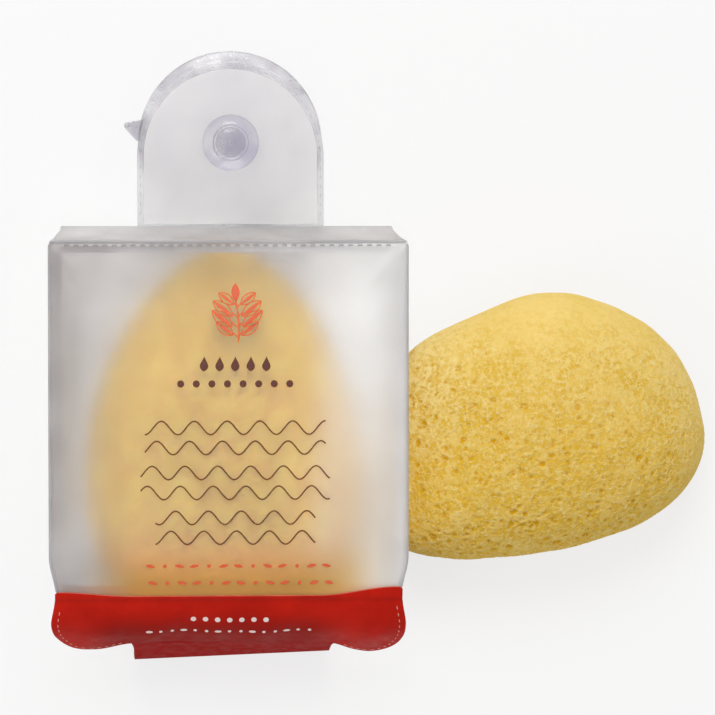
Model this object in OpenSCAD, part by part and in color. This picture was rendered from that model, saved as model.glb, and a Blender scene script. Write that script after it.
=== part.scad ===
// A konjac sponge set: one sponge packed in a frosted film pouch that hangs from
// a suction cup, and a second sponge lying beside it. Millimetres.
// The pouch lies on its back: +Z points up from the table, +Y towards the hanger tab.

/* [Pouch] */
// Width of the front panel between its side seams
pouch_w = 85.4; // [76:0.2:92]
// Length of the flat part of the front panel, from the top seam to the bend
pouch_l = 79.5; // [76:0.5:90]
// Height of the front panel's seam above the table
pouch_d = 33; // [31:0.5:38]
// Height of the back panel's rim above the table
back_rim_h = 6.5; // [6:0.1:8]
// How far the back panel's top corners lie inside the front panel's sides
back_inset = 2.3; // [1.6:0.1:3.2]
// How far the back's sides draw in below its top corners
back_draw = 2; // [1.6:0.2:3]
// Radius of the bend where the front panel turns down to the mouth
bend_r = 17; // [15:0.5:20]
// How far the top gusset leans out towards the back
top_lean = 3.5; // [1:0.5:6]
// Height of the front panel's crown over its seams
front_crown = 3; // [1:0.5:5]
// Thickness of the frosted film
film_t = 0.5; // [0.3:0.05:0.7]

/* [Side gussets] */
// How far the pleat of a side gusset is folded in from the front seam
pleat_in = 6.5; // [3:0.25:6.5]
// Height of the pleat above the table
pleat_h = 14; // [12:0.5:18]
// Distance over which the pleat runs out below the top corners
pleat_runout = 26; // [15:1:34]

/* [Hanger tab] */
// Width of the hanger tab
tab_w = 45.5; // [40:0.5:52]
// Distance from the pouch's back rim to the hole for the suction cup
tab_reach = 20.3; // [19:0.1:26]
// How far the middle of the tab's arch lies below the hole
arch_drop = 3.2; // [0:0.2:6]
// How far the tab is sewn on off the pouch's middle
tab_shift = 1; // [-2:0.2:2]
// Length of the tab that is sewn behind the back panel
tab_overlap = 7; // [5:0.5:8]
// Distance of the tab's frosted facing from the tab's edge
facing_inset = 1.6; // [1:0.1:3]
// Thickness of the frosted facing
facing_t = 0.35; // [0.2:0.05:0.5]

/* [Suction cup] */
// Diameter of the cup
cup_d = 45; // [42:0.5:50]
// Diameter of the mushroom head
head_d = 13.8; // [12:0.2:16]
// Height of the mushroom head
head_h = 4.6; // [3:0.2:6]
// Diameter of the neck that goes through the tab
neck_d = 7.2; // [5:0.1:8]
// Diameter of the collar under the tab
collar_d = 17; // [15:0.5:20]
// Thickness of the cup at its rim
rim_t = 1; // [0.8:0.1:1.4]
// Width of the flat ring at the rim that meets the wall
seal_w = 1.6; // [1:0.1:2.5]
// Length that the release tab stands out from the rim
pull_l = 3.8; // [2:0.2:5]
// Width of the release tab where it leaves the rim
pull_w = 5.8; // [4:0.2:9]
// Direction of the release tab, counted from +X
pull_angle = 172; // [150:1:210]
// Clearance of the neck in the tab's hole, all round
neck_gap = 0.06; // [0.02:0.01:0.1]

/* [Closure flap] */
// Angle of the bend at which the flap is sewn to the front panel
seam_angle = 17; // [10:1:25]
// Angle of the bend at which the flap runs straight on
flap_angle = 60; // [55:1:65]
// Straight run from there to the notches beside the tongue
notch_run = 5; // [3:0.5:7]
// Straight run from there to the lowest points of the lobes, halfway between the two
lobe_run = 9.1; // [8.4:0.1:11]
// How much deeper than that the right lobe hangs, and how much less the left one
lobe_skew = 1.3; // [0:0.1:1.6]
// Width of the lobes' round corners
lobe_r = 8.5; // [5:0.5:9]
// Length of the lobes' round corners along the flap
lobe_corner_l = 14; // [8:0.5:15]
// How far the flap's sides lie inside the front panel's sides
flap_inset = 0.5; // [0:0.1:4]
// How far the flap's sides draw in at its seam
flap_waist = 1.1; // [0:0.1:2]
// Width of the tongue
tongue_w = 48; // [30:1:54]
// How far the tongue lies off the pouch's middle
tongue_shift = 1.2; // [-2:0.2:2]
// Slope of the tongue below its crease
tongue_slope = 71; // [66:1:80]
// Inner radius of the fold under the pouch
fold_r = 1.7; // [1.2:0.1:2.2]
// Length of the tongue under the pouch, from the fold to its end
tongue_l = 28; // [26:0.5:29]
// Corner radius of the tongue's end
tongue_end_r = 4; // [2:0.5:6]
// Thickness of the red outer layer
flap_t = 0.5; // [0.3:0.05:0.6]
// Thickness of the inner layer
lining_t = 0.3; // [0.2:0.05:0.4]
// Distance of the inner layer from the outer layer's edges
lining_inset = 1.2; // [0.5:0.1:3]

/* [Hook and loop patches] */
// Width of the patches
patch_w = 18; // [10:1:28]
// Length of the patches
patch_l = 11; // [8:0.5:13]
// Corner radius of the patches
patch_r = 1.5; // [0.5:0.25:3]
// Gap between the hooks and the loops
patch_gap = 0.1; // [0.05:0.05:0.3]

/* [Packed sponge] */
// How far the packed sponge reaches into the front panel's bend
packed_bend_in = 6.5; // [0:0.5:9]
// Space between the packed sponge's sides and the back panel's top corners
packed_side_gap = 6.4; // [6:0.1:12]
// Share of its length from the narrow end to the widest place
packed_wide_share = 0.665; // [0.5:0.005:0.75]
// How far the packed sponge lies off the pouch's middle
packed_shift = -0.8; // [-1.6:0.2:1.6]
// Space that the sponge leaves to the films above and below it
packed_clear = 0.4; // [0.3:0.1:2]
// Space between the top gusset and the sponge
packed_top_gap = 4.5; // [4:0.5:8]

/* [Loose sponge] */
// Length of the loose sponge
loose_l = 79.4; // [60:0.5:100]
// Width of the loose sponge
loose_w = 65; // [50:0.5:80]
// Height of the loose sponge
loose_h = 34; // [28:0.5:40]
// Height of its widest contour above the table
loose_wide_h = 14; // [11:0.5:17]
// Gap between the loose sponge and the pleat that it lies against
loose_gap = 1; // [0.4:0.1:3]
// Distance from the pouch's back rim to the middle of the loose sponge
loose_down = 48.5; // [42:0.5:56]

/* [Hidden] */

frost = [0.88, 0.88, 0.87, 0.6];
clear_film = [0.8, 0.79, 0.84, 0.5];
red = [0.66, 0.13, 0.08];
lining_red = [0.5, 0.1, 0.08];
sponge_yellow = [0.94, 0.8, 0.46];

front_half = pouch_w / 2;
back_half = front_half - back_inset;
flap_half = front_half - flap_inset;
tongue_half = tongue_w / 2;
// The front panel's inner face follows a straight run and then the bend
front_z = pouch_d - film_t;
front_top_y = -top_lean;
bend_y = front_top_y - pouch_l;
// Shares of the panels' lengths over which crowns and bellies run out
crown_rise_share = 0.3;
crown_fall_share = 0.2;
crown_power = 2.4;
// The side seams draw in a little where the gussets end at the mouth
mouth_draw = 1.65;
mouth_draw_share = 0.12;

function smooth(t) = let (c = min(1, max(0, t))) c * c * (3 - 2 * c);
function mix(a, b, t) = a + (b - a) * t;
function arc_length(r, degrees) = r * degrees * PI / 180;
function arc_degrees(r, run) = run / r * 180 / PI;

// The profile of the pouch's front, as [y, z, degrees turned] at a run from the top
// seam, lifted by a height off the front panel's inner face
function front_at(run, lift = 0) =
    let (a = run < pouch_l ? 0 : arc_degrees(bend_r, run - pouch_l))
    [(run < pouch_l ? front_top_y - run : bend_y - bend_r * sin(a)) - lift * sin(a),
     front_z - bend_r * (1 - cos(a)) + lift * cos(a), a];
seam_run = pouch_l + arc_length(bend_r, seam_angle);
flap_turn_run = pouch_l + arc_length(bend_r, flap_angle);

// Height of the crown over a point of the front panel
function crown_at(x_share, run) =
    front_crown * (1 - pow(abs(x_share), crown_power))
    * smooth(run / (pouch_l * crown_rise_share))
    * smooth((seam_run - run) / (pouch_l * crown_fall_share));
function back_half_at(y) = back_half - back_draw * smooth(-y / pleat_runout);
function half_at(run) =
    front_half - mouth_draw * smooth(1 - (seam_run - run) / (pouch_l * mouth_draw_share));

// The back panel's rim, its belly, and the mouth's rear edge. Rows of points lie
// where the belly starts and ends.
mouth_share = 0.55;
mouth_y = bend_y - bend_r * mouth_share;
belly_top_y = -tab_overlap - film_t;
belly_end_y = mouth_y + patch_l + tongue_end_r;
mouth_rows_share = 2 / 13;
rim_rows_share = 1 / 13;
function back_y_at(v) =
    v < mouth_rows_share ? mix(mouth_y, belly_end_y, v / mouth_rows_share)
    : v > 1 - rim_rows_share ? mix(0, belly_top_y, (1 - v) / rim_rows_share)
    : mix(belly_end_y, belly_top_y,
          (v - mouth_rows_share) / (1 - rim_rows_share - mouth_rows_share));
belly_h = back_rim_h * 1.45;
belly_power = 2.3;
function belly_at(x_share, y) =
    let (mid = (belly_top_y + belly_end_y) / 2,
         reach = (belly_top_y - belly_end_y) / 2,
         y_share = min(1, abs(y - mid) / reach))
    max(0, back_rim_h - belly_h * (1 - pow(abs(x_share), belly_power))
                                * (1 - pow(y_share, belly_power)));

// A closed sheet between two surfaces over the unit square. The direction in which
// u grows, turned to the one in which v grows, is seen anticlockwise from above.
module sheet(nu, nv, below, above) {
    row = nv + 1;
    layer = (nu + 1) * row;
    u_shares = [for (i = [0 : nu]) i / nu];
    v_shares = [for (j = [0 : nv]) j / nv];
    points = concat([for (u = u_shares, v = v_shares) below(u, v)],
                    [for (u = u_shares, v = v_shares) above(u, v)]);
    top = [for (i = [0 : nu - 1], j = [0 : nv - 1])
        let (a = layer + i * row + j, b = a + 1, c = a + row, d = c + 1)
        each [[a, b, d], [a, d, c]]];
    bottom = [for (i = [0 : nu - 1], j = [0 : nv - 1])
        let (a = i * row + j, b = a + 1, c = a + row, d = c + 1)
        each [[a, d, b], [a, c, d]]];
    ends = [for (j = [0 : nv - 1])
        let (a = j, b = nu * row + j)
        each [[a, a + 1, layer + a + 1], [a, layer + a + 1, layer + a],
              [b, layer + b + 1, b + 1], [b, layer + b, layer + b + 1]]];
    sides = [for (i = [0 : nu - 1])
        let (a = i * row, b = a + nv)
        each [[a, layer + a, layer + a + row], [a, layer + a + row, a + row],
              [b, layer + b + row, layer + b], [b, b + row, layer + b + row]]];
    polyhedron(points, concat(top, bottom, ends, sides));
}

// A share from 0 to 1 that crowds towards both ends
function crowd(u) = (1 - cos(180 * u)) / 2;

// Frosted front panel with a crowned face, from the top seam to the flap's seam
module front_panel() {
    function face(u, v, lift) =
        let (run = seam_run * (1 - v),
             share = 2 * crowd(u) - 1,
             p = front_at(run, lift + crown_at(share, run)))
        [share * half_at(run), p.x, p.y];
    color(frost)
        sheet(22, 24, function(u, v) face(u, v, 0), function(u, v) face(u, v, film_t));
}

// Back panel: flat round its rim, with a belly that rests flat on the table
module back_panel() {
    function face(u, v, lift) =
        let (y = back_y_at(v), share = 2 * crowd(u) - 1)
        [share * back_half_at(y), y, belly_at(share, y) + lift];
    color(frost)
        sheet(22, 26, function(u, v) face(u, v, 0), function(u, v) face(u, v, film_t));
}

// Depth of the pleat at a distance below the top corners
function pleat_at(y) = pleat_in * smooth(-y / pleat_runout);

// One side gusset, pleated inwards. side is 1 on the right and -1 on the left.
module side_gusset(side) {
    knee_share = 0.6;
    function wall(u, v, inward) =
        let (t = 1 - u,
             front_run = mix(0, seam_run, v),
             f = front_at(front_run),
             back_y = mix(0, mouth_y, v),
             front_x = half_at(front_run) - inward,
             back_x = back_half_at(back_y) - inward,
             fold_y = mix(back_y, f.x, (pleat_h - back_rim_h) / (front_z - back_rim_h)),
             fold_x = min(front_half - pleat_at(fold_y) - inward, back_x))
        t < knee_share
            ? let (k = t / knee_share)
              [side * mix(front_x, fold_x, k), mix(f.x, fold_y, k), mix(f.y, pleat_h, k)]
            : let (k = (t - knee_share) / (1 - knee_share))
              [side * mix(fold_x, back_x, k), mix(fold_y, back_y, k),
               mix(pleat_h, back_rim_h + film_t, k)];
    outer = function(u, v) wall(u, v, 0);
    inner = function(u, v) wall(u, v, film_t);
    color(frost) {
        if (side > 0) sheet(5, 20, outer, inner);
        else sheet(5, 20, inner, outer);
    }
}

module left_gusset() {
    side_gusset(-1);
}

module right_gusset() {
    side_gusset(1);
}

// Top gusset: the sloping wall between the top seam and the back rim
module top_gusset() {
    low_z = back_rim_h + film_t;
    function half_wall(z) = z > pleat_h
        ? mix(back_half, front_half, (z - pleat_h) / (front_z - pleat_h))
        : back_half;
    function wall(u, v, inward) =
        let (z = mix(low_z, front_z, v), half = half_wall(z) - film_t)
        [mix(half, -half, u), mix(0, front_top_y, v) - inward, z];
    color(frost)
        sheet(8, 12, function(u, v) wall(u, v, film_t), function(u, v) wall(u, v, 0));
}

// Outline of the tab, drawn in from its edge, with the neck's hole
module tab_outline(inset, tail) {
    half = tab_w / 2 - inset;
    arch_y = tab_reach - arch_drop;
    difference() {
        union() {
            intersection() {
                translate([0, arch_y]) circle(half, $fn = 96);
                translate([-half, arch_y]) square(2 * half);
            }
            translate([-half, -tail]) square([2 * half, arch_y + tail]);
        }
        translate([0, tab_reach]) circle(neck_d / 2 + neck_gap, $fn = 64);
    }
}

// Clear tab, sewn behind the back panel's rim
module hanger_tab() {
    color(clear_film)
        translate([tab_shift, 0, back_rim_h - film_t])
            linear_extrude(film_t) tab_outline(0, tab_overlap);
}

// Frosted facing on the tab, inside its clear edge
module tab_facing() {
    facing_start = film_t;
    color(frost)
        translate([tab_shift, 0, back_rim_h])
            linear_extrude(facing_t) tab_outline(facing_inset, -facing_start);
}

// Suction cup with its collar, neck, mushroom head and release tab, in one moulding
module suction_cup() {
    cup_r = cup_d / 2;
    collar_r = collar_d / 2;
    neck_r = neck_d / 2;
    head_r = head_d / 2;
    play = neck_gap + neck_gap / 2;
    collar_top = back_rim_h - film_t - play;
    head_z = back_rim_h + facing_t + play;
    collar_h = collar_top * 0.24;
    dome_z = collar_top - collar_h;
    // The dome is an arc from the rim to the collar, above and below
    hollow_r = cup_r - seal_w;
    hollow_h = dome_z - rim_t * 1.25;
    arc_shares = [for (i = [0 : 10]) i / 10];
    underside = [for (t = arc_shares) [hollow_r * (1 - t), hollow_h * sin(90 * t)]];
    topside = [for (t = arc_shares)
        [mix(collar_r, cup_r - rim_t / 2, t), rim_t + (dome_z - rim_t) * cos(90 * t)]];
    brim_r = head_r - head_h * 0.22;
    head_arc = [for (t = arc_shares)
        [head_r * cos(90 * t), head_z + head_h * 0.3 + head_h * 0.7 * sin(90 * t)]];
    color(clear_film)
        translate([tab_shift, tab_reach, 0]) {
            rotate_extrude($fn = 96)
                polygon(concat(underside, [[0, head_z + head_h]],
                    [for (i = [len(head_arc) - 2 : -1 : 0]) head_arc[i]],
                    [[brim_r, head_z], [neck_r, head_z], [neck_r, collar_top],
                     [collar_r - collar_h / 2, collar_top],
                     [collar_r, collar_top - collar_h / 2]],
                    topside, [[cup_r, rim_t / 2], [cup_r - rim_t / 4, 0]]));
            rotate(pull_angle) release_tab(cup_r);
        }
}

// Wedge-shaped release tab with a raised grip bead at its tip
module release_tab(cup_r) {
    root = cup_r - seal_w;
    tip_r = rim_t * 0.8;
    tip_y = -pull_w * 0.12;
    linear_extrude(rim_t)
        polygon([[root, -pull_w / 2], [cup_r + pull_l - tip_r, tip_y - tip_r * 0.9],
                 [cup_r + pull_l - tip_r / 3, tip_y],
                 [cup_r + pull_l - tip_r, tip_y + tip_r * 0.9], [root, pull_w / 2]]);
    translate([cup_r + pull_l - tip_r * 1.6, tip_y, 0])
        cylinder(h = rim_t * 1.7, r = tip_r, $fn = 32);
}

// Strip inside the pouch that backs the seam where the flap is sewn on
module mouth_binding() {
    binding_w = film_t * 5;
    ease = film_t / 5;
    function face(u, v, drop) =
        let (run = seam_run - binding_w + (binding_w - ease) * (1 - v),
             half = half_at(run) - film_t * 2.4,
             p = front_at(run, -ease - drop))
        [mix(-half, half, u), p.x, p.y];
    color(frost)
        sheet(4, 4, function(u, v) face(u, v, film_t), function(u, v) face(u, v, 0));
}

// Hem along the mouth's rear edge, inside the back panel
module back_hem() {
    hem_w = film_t * 9;
    half = back_half_at(mouth_y) - film_t * 2.4;
    color(frost)
        translate([-half, mouth_y, back_rim_h + film_t])
            cube([2 * half, hem_w, film_t * 0.8]);
}

// The flap's straight run leaves the bend here, and its tongue turns at the crease
turn = front_at(flap_turn_run);
function flap_at(run, lift) =
    run < flap_turn_run
        ? let (p = front_at(run, lift)) [p.x, p.y]
        : let (on = run - flap_turn_run)
          [turn.x - on * cos(flap_angle) - lift * sin(flap_angle),
           turn.y - on * sin(flap_angle) + lift * cos(flap_angle)];
hinge_gap = 0.3;
// Air between the two layers of the flap
layer_gap = 0.08;
// The tongue's strip is tucked into the wide part over this run, above its crease,
// and the wide part ends this far short of the crease
tuck_run = notch_run * 0.4;
crease_gap = notch_run * 0.12;
flap_start = seam_run + hinge_gap;

// Run of the flap's free edge: notches beside the tongue, and rounded lobes outside
function flap_edge(x, inset) =
    let (from_tongue = max(abs(x - tongue_shift) - tongue_half, 0),
         lobe_start = flap_half - lobe_r,
         swell = smooth(from_tongue / (lobe_start - tongue_half)),
         round_x = min(max(abs(x) - lobe_start, 0) / (lobe_r - inset), 1),
         rounding = lobe_corner_l * (1 - sqrt(max(0, 1 - round_x * round_x))))
    flap_turn_run + mix(notch_run, lobe_run + sign(x) * lobe_skew, swell) - rounding
    - (from_tongue > 0 ? inset : crease_gap);

// The flap swells from its waist at the seam to its full width
function flap_spread(run) =
    1 - flap_waist / flap_half * (1 - smooth((run - flap_start) / lobe_r));

// The wide part of the flap between two heights off the front panel's inner face
module flap_sheet(low, high, inset) {
    half = flap_half - inset;
    function face(u, v, lift) =
        let (x = mix(-half, half, crowd(u)),
             run = mix(flap_edge(x, inset), flap_start + inset / 2, v),
             p = flap_at(run, lift))
        [x * flap_spread(run), p.x, p.y];
    sheet(30, 14, function(u, v) face(u, v, low), function(u, v) face(u, v, high));
}

// The tongue's fold: its crease, the end of its slope and the middle of the bend
crease = flap_at(flap_turn_run + notch_run, 0);
under_z = back_rim_h - 2 * patch_t() - patch_gap - lining_t;
fold_mid_z = under_z + fold_r;
slope_end_z = fold_mid_z + fold_r * cos(tongue_slope);
slope_end_y = crease.x - (crease.y - slope_end_z) / tan(tongue_slope);
fold_mid_y = slope_end_y + fold_r * sin(tongue_slope);
function patch_t() = film_t * 1.6;

// The tongue from the crease down to the fold, as a profile of points at a lift. Its
// tucked end is thinner than the wide part that it lies in.
function tongue_profile(lift, tucked) = concat(
    [flap_at(flap_turn_run + notch_run - tuck_run, tucked),
     [crease.x - lift * sin(tongue_slope), crease.y + lift * cos(tongue_slope)]],
    [for (i = [0 : 6])
        let (a = 180 - (90 - tongue_slope) + (90 + 90 - tongue_slope) * i / 6,
             r = fold_r + lift)
        [fold_mid_y + r * cos(a), fold_mid_z + r * sin(a)]]);

module tongue_strip(low, high, inset) {
    thin = (high - low) * 0.15;
    inner = tongue_profile(low, low + thin);
    outer = tongue_profile(high, high - thin);
    translate([tongue_shift - tongue_half + inset, 0, 0])
        rotate([90, 0, 90])
            linear_extrude(tongue_w - 2 * inset)
                polygon(concat(inner, [for (i = [len(outer) - 1 : -1 : 0]) outer[i]]));
}

// Red outer layer of the closure flap, with its lobes and the tongue's slope
module closure_flap() {
    color(red) {
        flap_sheet(0, flap_t, 0);
        tongue_strip(0, flap_t, 0);
    }
}

// Inner layer of the closure flap
module flap_lining() {
    color(lining_red) {
        flap_sheet(-lining_t - layer_gap, -layer_gap, lining_inset);
        tongue_strip(-lining_t - layer_gap, -layer_gap, lining_inset);
    }
}

// Outline of the tongue's end under the pouch, from the fold to its round corners
module tongue_outline(inset) {
    half = tongue_half - inset;
    r = tongue_end_r;
    translate([tongue_shift, fold_mid_y + hinge_gap]) {
        translate([-half, 0]) square([2 * half, tongue_l - r - inset]);
        translate([-half + r, 0]) square([2 * (half - r), tongue_l - inset]);
        for (side = [-1, 1])
            translate([side * (half - r), tongue_l - r - inset]) circle(r, $fn = 48);
    }
}

module closure_tongue() {
    color(red)
        translate([0, 0, under_z - flap_t]) linear_extrude(flap_t) tongue_outline(0);
}

module tongue_lining() {
    color(lining_red)
        translate([0, 0, under_z])
            linear_extrude(lining_t) tongue_outline(lining_inset);
}

// Rounded patch of hook or loop tape
module patch(z) {
    margin = patch_r * 1.5;
    half_w = patch_w / 2 - patch_r;
    half_l = patch_l / 2 - patch_r;
    translate([tongue_shift, fold_mid_y + tongue_l - lining_inset - margin - patch_l / 2, z])
        linear_extrude(patch_t()) {
            square([2 * half_w, patch_l], center = true);
            square([patch_w, 2 * half_l], center = true);
            for (sx = [-1, 1], sy = [-1, 1])
                translate([sx * half_w, sy * half_l]) circle(patch_r, $fn = 32);
        }
}

module hook_patch() {
    color("gray") patch(under_z + lining_t);
}

module loop_patch() {
    color("silver") patch(back_rim_h - patch_t());
}

// A closed body of rings, each a list of as many points, from the bottom ring up
module ringed(rings) {
    n = len(rings[0]);
    m = len(rings);
    sides = [for (k = [0 : m - 2], i = [0 : n - 1])
        let (a = k * n + i, b = k * n + (i + 1) % n)
        each [[a, a + n, b], [b, a + n, b + n]]];
    points = [for (ring = rings) each ring];
    foot = len(points);
    middle_of = function(ring) [for (c = [0 : 2])
        ([for (p = ring) p[c]] * [for (p = ring) 1]) / len(ring)];
    caps = [for (i = [0 : n - 1])
        each [[foot, i, (i + 1) % n],
              [foot + 1, (m - 1) * n + (i + 1) % n, (m - 1) * n + i]]];
    polyhedron(concat(points, [middle_of(rings[0]), middle_of(rings[m - 1])]),
               concat(sides, caps));
}

// Packed sponge: an egg, narrow end up, flattened by the films above and below it
module packed_sponge() {
    around = 44;
    packed_l = packed_bend_in - bend_y - packed_top_gap;
    packed_half = back_half - packed_side_gap;
    wide = packed_l * packed_wide_share;
    top_y = -packed_top_gap;
    low_z = film_t + packed_clear;
    high_z = front_z + front_crown - packed_clear;
    mid_z = (low_z + high_z) / 2;
    half_h = (high_z - low_z) / 2;
    narrow_power = 1.6;
    round_power = 2.3;
    square_power = 3.2;
    // Outline from its widest place: an egg's narrow end, and square shoulders at the mouth
    function powered(v, power) = sign(v) * pow(abs(v), 2 / power);
    function reach_at(a) = a < 180
        ? [packed_half * powered(cos(a), narrow_power), wide * sin(a)]
        : [packed_half * powered(cos(a), square_power),
           (packed_l - wide) * powered(sin(a), square_power)];
    level_angles = [for (k = [0 : 14]) mix(-90, 90, (k + 0.6) / 15.2)];
    // The underside settles into the belly, and rises towards the mouth's flat rim.
    // The upper side is fuller towards the mouth, where it leans into the bend.
    settle = packed_l * 0.1;
    mouth_rise_share = 0.35;
    mouth_power = 2.8;
    lean = bend_r * 0.18;
    rings = [for (level = level_angles)
        let (k = pow(cos(level), 2 / round_power),
             full_k = level > 0 ? pow(cos(level), 2 / mouth_power) : k,
             under = max(0, -sin(level)),
             over = max(0, sin(level)))
        [for (i = [0 : around - 1])
            let (p = reach_at(360 * i / around),
                 to_mouth = max(0, -p.y) / (packed_l - wide))
            [packed_shift + p.x * k,
             top_y - wide + p.y * (p.y < 0 ? full_k : k) + settle * under * under
             - lean * over * to_mouth,
             mid_z + half_h * (sin(level) + under * mouth_rise_share * to_mouth)]]];
    color(sponge_yellow) ringed(rings);
}

// Outline of the loose sponge as shares of its half length and half width
loose_outline_shares = [
    [-0.81, 0.57], [-0.43, 0.825], [0.01, 1], [0.453, 0.885], [0.82, 0.55], [1, -0.03],
    [0.894, -0.458], [0.602, -0.74], [0.16, -0.923], [-0.28, -0.997], [-0.7, -0.985],
    [-0.95, -0.82], [-1, -0.25], [-0.955, 0.24]];

// A point on the closed smooth curve through a list of points
function along(list, t) =
    let (n = len(list), i = floor(t * n), f = t * n - i,
         p0 = list[(i + n - 1) % n], p1 = list[i % n],
         p2 = list[(i + 1) % n], p3 = list[(i + 2) % n])
    p1 + f * (p2 - p0) / 2 + f * f * (p0 - 2.5 * p1 + 2 * p2 - p3 / 2)
    + f * f * f * (1.5 * p1 - p0 / 2 - 1.5 * p2 + p3 / 2);

// The loose sponge's side under its widest contour, as a share of its half width
base_share = 0.6;
function loose_side_at(z) =
    let (level = acos(1 - min(z, loose_wide_h) / loose_wide_h))
    mix(base_share, 1, sin(level));

// It lies against the pleat's fold, or against the back's edge where that is in its way
rear_x = back_half - back_draw;
fold_x = min(front_half - pleat_in, rear_x);
loose_mid_x = loose_gap + max(fold_x + loose_l / 2,
                              rear_x + loose_l / 2 * loose_side_at(back_rim_h));

// Loose sponge: a domed body with rounded sides and a flat base
module loose_sponge() {
    around = 48;
    top_power = 2.2;
    // Shares of its size by which the dome lies off the middle of the outline
    top_lean_share = [0.03, -0.03];
    up = loose_h - loose_wide_h;
    side_levels = [for (k = [0 : 4])
        let (z = loose_wide_h * (1 - cos(90 * k / 5)))
        [z, loose_side_at(z), 0]];
    dome_levels = [for (k = [0 : 10])
        let (a = 86 * k / 10)
        [loose_wide_h + up * sin(a) / sin(86), pow(cos(a), 2 / top_power), sin(a)]];
    rings = [for (level = concat(side_levels, dome_levels))
        [for (i = [0 : around - 1])
            let (share = along(loose_outline_shares, 1 - i / around)
                         * level[1] + top_lean_share * level[2])
            [loose_mid_x + share.x * loose_l / 2,
             -loose_down + share.y * loose_w / 2, level[0]]]];
    color(sponge_yellow) ringed(rings);
}

// The set's origin is the middle of the table area that it covers
set_left = min(-front_half, -flap_half);
set_right = loose_mid_x + loose_l / 2;
set_top = tab_reach + cup_d / 2;
set_bottom = fold_mid_y - fold_r - flap_t;
module placed() {
    translate([-(set_left + set_right) / 2, -(set_top + set_bottom) / 2, 0]) children();
}

placed() front_panel();
placed() back_panel();
placed() left_gusset();
placed() right_gusset();
placed() top_gusset();
placed() hanger_tab();
placed() tab_facing();
placed() suction_cup();
placed() mouth_binding();
placed() back_hem();
placed() closure_flap();
placed() flap_lining();
placed() closure_tongue();
placed() tongue_lining();
placed() hook_patch();
placed() loop_patch();
placed() packed_sponge();
placed() loose_sponge();
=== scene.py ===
"""Konjac sponge set: a frosted pouch with a sponge in it, its suction cup, and a loose sponge."""

import math

import bmesh
import bpy
import numpy as np
from mathutils import Matrix, Vector

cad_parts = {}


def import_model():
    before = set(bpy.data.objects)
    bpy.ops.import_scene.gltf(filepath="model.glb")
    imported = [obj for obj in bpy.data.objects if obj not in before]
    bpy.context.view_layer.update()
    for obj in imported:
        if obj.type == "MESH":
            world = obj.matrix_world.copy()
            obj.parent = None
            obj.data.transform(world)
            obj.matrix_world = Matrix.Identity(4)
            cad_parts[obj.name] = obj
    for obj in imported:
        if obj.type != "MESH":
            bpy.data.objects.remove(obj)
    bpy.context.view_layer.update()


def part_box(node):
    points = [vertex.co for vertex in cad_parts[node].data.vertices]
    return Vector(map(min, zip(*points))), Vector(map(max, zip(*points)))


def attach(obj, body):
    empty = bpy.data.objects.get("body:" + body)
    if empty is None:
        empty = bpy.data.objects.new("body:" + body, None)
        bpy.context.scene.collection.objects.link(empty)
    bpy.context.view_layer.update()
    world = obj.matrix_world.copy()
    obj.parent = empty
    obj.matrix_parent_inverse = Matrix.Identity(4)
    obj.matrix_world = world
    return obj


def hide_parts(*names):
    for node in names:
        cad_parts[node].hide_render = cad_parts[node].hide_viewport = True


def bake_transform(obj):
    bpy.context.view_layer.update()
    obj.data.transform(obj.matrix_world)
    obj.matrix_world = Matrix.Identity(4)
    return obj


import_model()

# Sizes of the solids in millimetres, with the pouch's top rim as their origin
MM = 0.001
front_low, front_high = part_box("front_panel")
ORIGIN = np.array([(front_low.x + front_high.x) / 2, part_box("back_panel")[1].y, 0.0])

FRONT_HALF = (front_high.x - front_low.x) / 2 / MM
BACK_INSET = 2.3
BACK_HALF = FRONT_HALF - BACK_INSET
FLAP_INSET = 0.5
FLAP_HALF = FRONT_HALF - FLAP_INSET
POUCH_L = 79.5
POUCH_D = 33.0
FILM_T = 0.5
FRONT_Z = POUCH_D - FILM_T
RIM_H = 6.5
BACK_TOP = RIM_H + FILM_T
TOP_LEAN = 3.5
BEND_R = 17.0
BEND_Y = -TOP_LEAN - POUCH_L
CROWN = 3.0
BACK_DRAW = 2.0
PLEAT_IN = 6.5
PLEAT_H = 14.0
PLEAT_RUNOUT = 26.0
MOUTH_SHARE = 0.55
MOUTH_Y = BEND_Y - BEND_R * MOUTH_SHARE
SEAM_ANGLE = math.radians(17)
SEAM_RUN = POUCH_L + BEND_R * SEAM_ANGLE
FLAP_ANGLE = math.radians(60)
TURN_RUN = POUCH_L + BEND_R * FLAP_ANGLE
NOTCH_RUN = 5.0
LOBE_RUN = 9.1
LOBE_SKEW = 1.3
LOBE_R = 8.5
LOBE_CORNER_L = 14.0
FLAP_WAIST = 1.1
FLAP_T = 0.5
LINING_T = 0.3
LINING_INSET = 1.2
LAYER_GAP = 0.08
TONGUE_HALF = 24.0
TONGUE_X = 1.2
TONGUE_SLOPE = math.radians(71)
TONGUE_L = 28.0
TONGUE_CORNER_R = 4.0
FOLD_R = 1.7
UNDER_Z = 4.5
TAB_X = 1.0
TAB_W = 45.5
TAB_REACH = 20.3
TAB_HOLE_R = 3.66
TAB_ARCH_Y = TAB_REACH - 3.2
CUP_R = 22.5
COLLAR_R = 8.5
COLLAR_TOP = 5.91
NECK_R = 3.6
HEAD_R = 6.9
HEAD_Z = 6.94
HEAD_H = 4.6
PATCH_HALVES = (9.0, 5.5)
PATCH_CORNER_R = 1.5
SPONGE_L = 79.4
SPONGE_W = 65.0
SPONGE_Y = -48.5
SPONGE_WIDEST_Z = 14.0

# The camera's target, and how the photograph's pixels lie on the front film
TARGET = (-4.55, -1.27)
PHOTO_MIDDLE = 357.5
PIXEL_ON_FRONT = 0.2380
FRONT_SHIFT = (-1.8, 1.45)

# Sizes of what is added to the solids
WELT_R = 0.42
FLAP_LAP = 0.55
HEM_W = 4.4


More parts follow.
